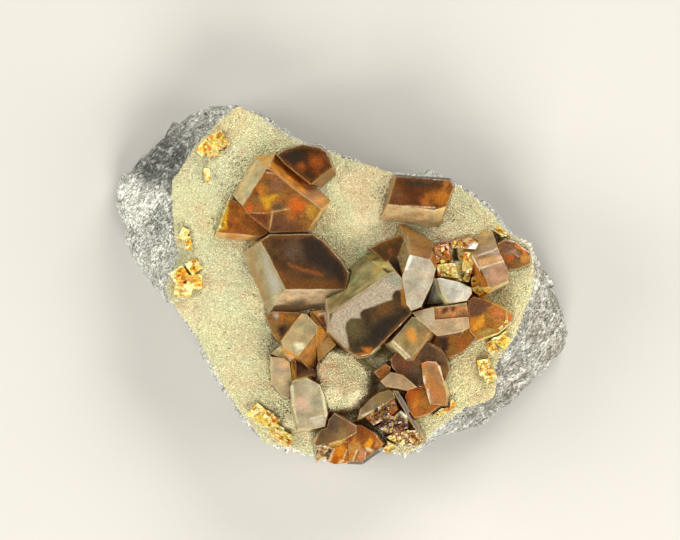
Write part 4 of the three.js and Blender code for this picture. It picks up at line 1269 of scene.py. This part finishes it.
deepBetween = {
    "outlines": [
        [(18.7, 1.2, 28.9), (21.7, -3.5, 29.4), (17, -3.8, 27.4)],
        [(25.8, 1.4, 27), (26.6, 1.9, 27), (27.6, -0.4, 27), (28.4, -1.6, 27), (27.6, -2.2, 27),
            (26.3, -1.2, 27), (25.9, 0.2, 27)],
        [(-6.2, -5.2, 24.8), (-3, -5, 24.8), (-2.6, -9.8, 24.8), (-1, -12, 24.8), (-2.6, -13.4, 24.8),
            (-4.6, -15.4, 24.8), (-4.9, -12, 24.8)],
        [(-9.9, -14.8, 23), (-8.6, -14.6, 23), (-5.2, -17, 23), (-4.9, -18.4, 23), (-9.9, -18.8, 23)],
        [(-9.9, -14.8, 26), (-9, -14.8, 26), (-8.8, -18.8, 25.9), (-9.9, -18.9, 26)],
    ],
    "base": 19.5,
    "faces": {
        "clear": [
            (-3.8, -10.4, "#f0a850", "#d88c3c"), (-7.6, -17.6, "#b07040", "#985428"),
            (-9.4, -17, "#ffb020", "#ffa018"),
        ],
        "satin": [(19.4, -2.2, "#b0a478", "#8f8458")],
        "broken": [(26.6, 0.6, "#f8c040", "#ffec90")],
    },
    "spots": [
        (-3.8, -9.6, 0.9, "#f0a030"), (-3.0, -12.6, 1.3, "#c8a468"), (-2.2, -10.6, 0.7, "#b88c50"),
    ],
    "patches": [
        (0.3, "#4a3822", [(18.5, 1.2), (18.9, -1), (18.2, -3.9), (16.4, -3.9)]),
        (0.2, "#74401e", [(-4.6, -6.4), (-3.2, -6.4), (-2.8, -8.6), (-3.4, -8.2)]),
    ],
    "lines": [
        (0.28, "#2c180a", (-6, -5.3), (-2.9, -9.2)), (0.16, "#4a2a10", (-2.4, -9.8), (-3.6, -11.2)),
        # painted glints: the near-white lines #fff4e0 along edges
        (0.18, "#fff4e0", (-4.6, -6), (-3.2, -5.7)), (0.16, "#fff4e0", (-3.2, -5.8), (-3.1, -7.4)),
        (0.2, "#e8b870", (-9, -18.3), (-5.2, -17.9)),
    ],
}
for name, look in {"crystal_ragged_foot": raggedFoot, "crystals_deep_between": deepBetween}.items():
    shape = slabShape(look["outlines"], look["base"])
    dressCrystals(shape, name, honey, look)

# Stubs: what is left of yellow crystals that broke off level with the crust
yellow = bariteMaterial("yellow barite, broken", yellowGlass)
stubLook = {"finish": "broken", "sides": ("#e0c44c", "#f0e6a8"), "faces": {}}
stubs = [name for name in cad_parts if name.startswith("stub_")]
for node in stubs:
    name = node.replace("stub", "broken_stub")
    dressCrystals(nodeShape(node), name, yellow, stubLook, [node])


def treeOf(nodes):  # the nodes' solids, for rays
    shape = bmesh.new()
    for node in nodes:
        shape.from_mesh(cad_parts[node].data)
    tree = BVHTree.FromBMesh(shape)
    shape.free()
    return tree


def crystalsHide(tree):  # a test for places that lie under a crystal
    up = Vector((0, 0, 1))

    def hidden(place):
        above = tree.ray_cast(place - up * 3 * mm, up)[0]
        return above is not None and tree.ray_cast(place + up * 40 * mm, down)[2] is not None

    return hidden


# Chips: little cleavage blocks, where crystals are broken. x, y, radius, how many, sizes, turn.
goldenChips = ["#ecd878", "#f4e8a8", "#e8bc44", "#cc9030", "#f0d45c", "#a87428"]
darkChips = ["#3e220c", "#6c4418", "#a0742c", "#b8985c", "#2e180a", "#d0a048", "#7c5020"]
chips = {
    "chips_fractured": {
        "colours": goldenChips,
        "places": [
            (20.2, 6.2, 1.5, 10, 0.3, 1.2, 20), (24.4, 6.4, 1.4, 10, 0.3, 1.2, 70),
            (23.6, 8.8, 1.8, 12, 0.3, 1.1, 15), (21.6, 3.0, 2.0, 12, 0.3, 1.2, 10),
            (25.0, 2.6, 1.3, 10, 0.3, 1.0, 70),
        ],
    },
    "chips_edges": {
        "colours": goldenChips,
        "places": [(-24, 12.4, 1.0, 12, 0.2, 0.6, 60), (32.4, -8, 1.1, 14, 0.25, 0.8, 30)],
    },
    "chips_terraces": {
        "colours": darkChips,
        "places": [
            (8.2, -25.4, 1.8, 40, 0.25, 0.8, 30), (10.2, -27.4, 1.8, 44, 0.25, 0.8, 30),
            (6.2, -26.8, 1.2, 20, 0.25, 0.7, 30),
        ],
    },
    "chips_lower": {
        "colours": goldenChips,
        "places": [(13.6, -30.4, 2.0, 24, 0.25, 0.8, 30), (10.0, -30.0, 1.4, 10, 0.25, 0.7, 30)],
    },
}
stubChips = {"perMm2": 0.7, "sizeMm": (0.25, 0.9), "turn": 35}
chipBlock = {
    "wide": (0.5, 0.9),  # beside its length
    "thick": (0.35, 0.7),
    "skew": 0.2,  # barite cleaves 12 degrees off square
    "chipped": 0.06,
    "turnSpread": 14,
    "crosswise": 0.3,  # the share that lies at right angles to the others
    "lean": 0.35,
    "shades": (0.75, 1.15),
    "raised": (0, 0.3),
}


def makeChips(name, material, places, colours, tree):
    corners, tints = [], []
    block = np.array([[x, y, z] for x in (-1, 1) for y in (-1, 1) for z in (-1, 1)]) / 2
    sides = [(0, 1, 3, 2), (4, 6, 7, 5), (0, 4, 5, 1), (2, 3, 7, 6), (0, 2, 6, 4), (1, 5, 7, 3)]
    for x, y, radius, many, low, high, turn in places:
        for _ in range(many):
            away = radius * math.sqrt(random.random())
            bearing = random.uniform(0, 2 * math.pi)
            seat = (x + away * math.cos(bearing), y + away * math.sin(bearing), skyMm)
            found, normal = tree.ray_cast(Vector(seat) * mm, down)[:2]
            size = low + (high - low) * random.random() ** 2
            wide, thick = random.uniform(*chipBlock["wide"]), random.uniform(*chipBlock["thick"])
            size = size * np.array([1, wide, thick])
            shape = block * size
            shape[:, 0] += shape[:, 1] * chipBlock["skew"]
            chipped = chipBlock["chipped"]
            shape += random.uniform(-chipped, chipped, (8, 3)) * size.mean()
            swing = turn + random.normal(0, chipBlock["turnSpread"])
            angle = math.radians(swing + 90 * (random.random() < chipBlock["crosswise"]))
            lean = random.normal(0, chipBlock["lean"], 2)
            spin = np.array(
                [
                    [math.cos(angle), -math.sin(angle), lean[0]],
                    [math.sin(angle), math.cos(angle), lean[1]],
                    [-lean[0], -lean[1], 1],
                ]
            )
            colour = linear(colours[int(random.integers(len(colours)))])
            colour = colour * random.uniform(*chipBlock["shades"])
            if found is None or normal.z < 0.5:
                continue
            raised = size[2] * random.uniform(*chipBlock["raised"])
            middle = np.array(found) + np.array([0, 0, raised * mm])
            corners.append(shape @ spin.T * mm + middle)
            tints.append(colour)
    base = np.array([(a, b, c) for a, b, c, d in sides] + [(a, c, d) for a, b, c, d in sides])
    triangles = (base[None] + 8 * np.arange(len(corners))[:, None, None]).reshape(-1, 3)
    mesh = meshOf(name, np.concatenate(corners), triangles)
    mesh.shade_flat()
    tint = np.clip(np.repeat(tints, 8, axis=0), crystal["darkest"], 1)
    setAttribute(mesh, "tint", tint, "POINT")
    for key in ("roughness", "etch", "grain"):
        setAttribute(mesh, key, np.full(len(mesh.vertices), finishes["broken"][key]), "POINT")
    newPiece(name, mesh, material)


def stubPlaces():
    places = []
    for node in stubs:
        (x0, y0, _), (x1, y1, _) = [[v / mm for v in corner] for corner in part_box(node)]
        many = int((x1 - x0) * (y1 - y0) * stubChips["perMm2"])
        radius = math.hypot(x1 - x0, y1 - y0) / 2
        low, high = stubChips["sizeMm"]
        places.append(((x0 + x1) / 2, (y0 + y1) / 2, radius, many, low, high, stubChips["turn"]))
    return places


clusters = treeOf(clusterLooks)
for name, chip in chips.items():
    makeChips(name, honey, chip["places"], chip["colours"], clusters)
makeChips("chips_stubs", yellow, stubPlaces(), goldenChips, treeOf(stubs))

makeCrust(crystalsHide(clusters))
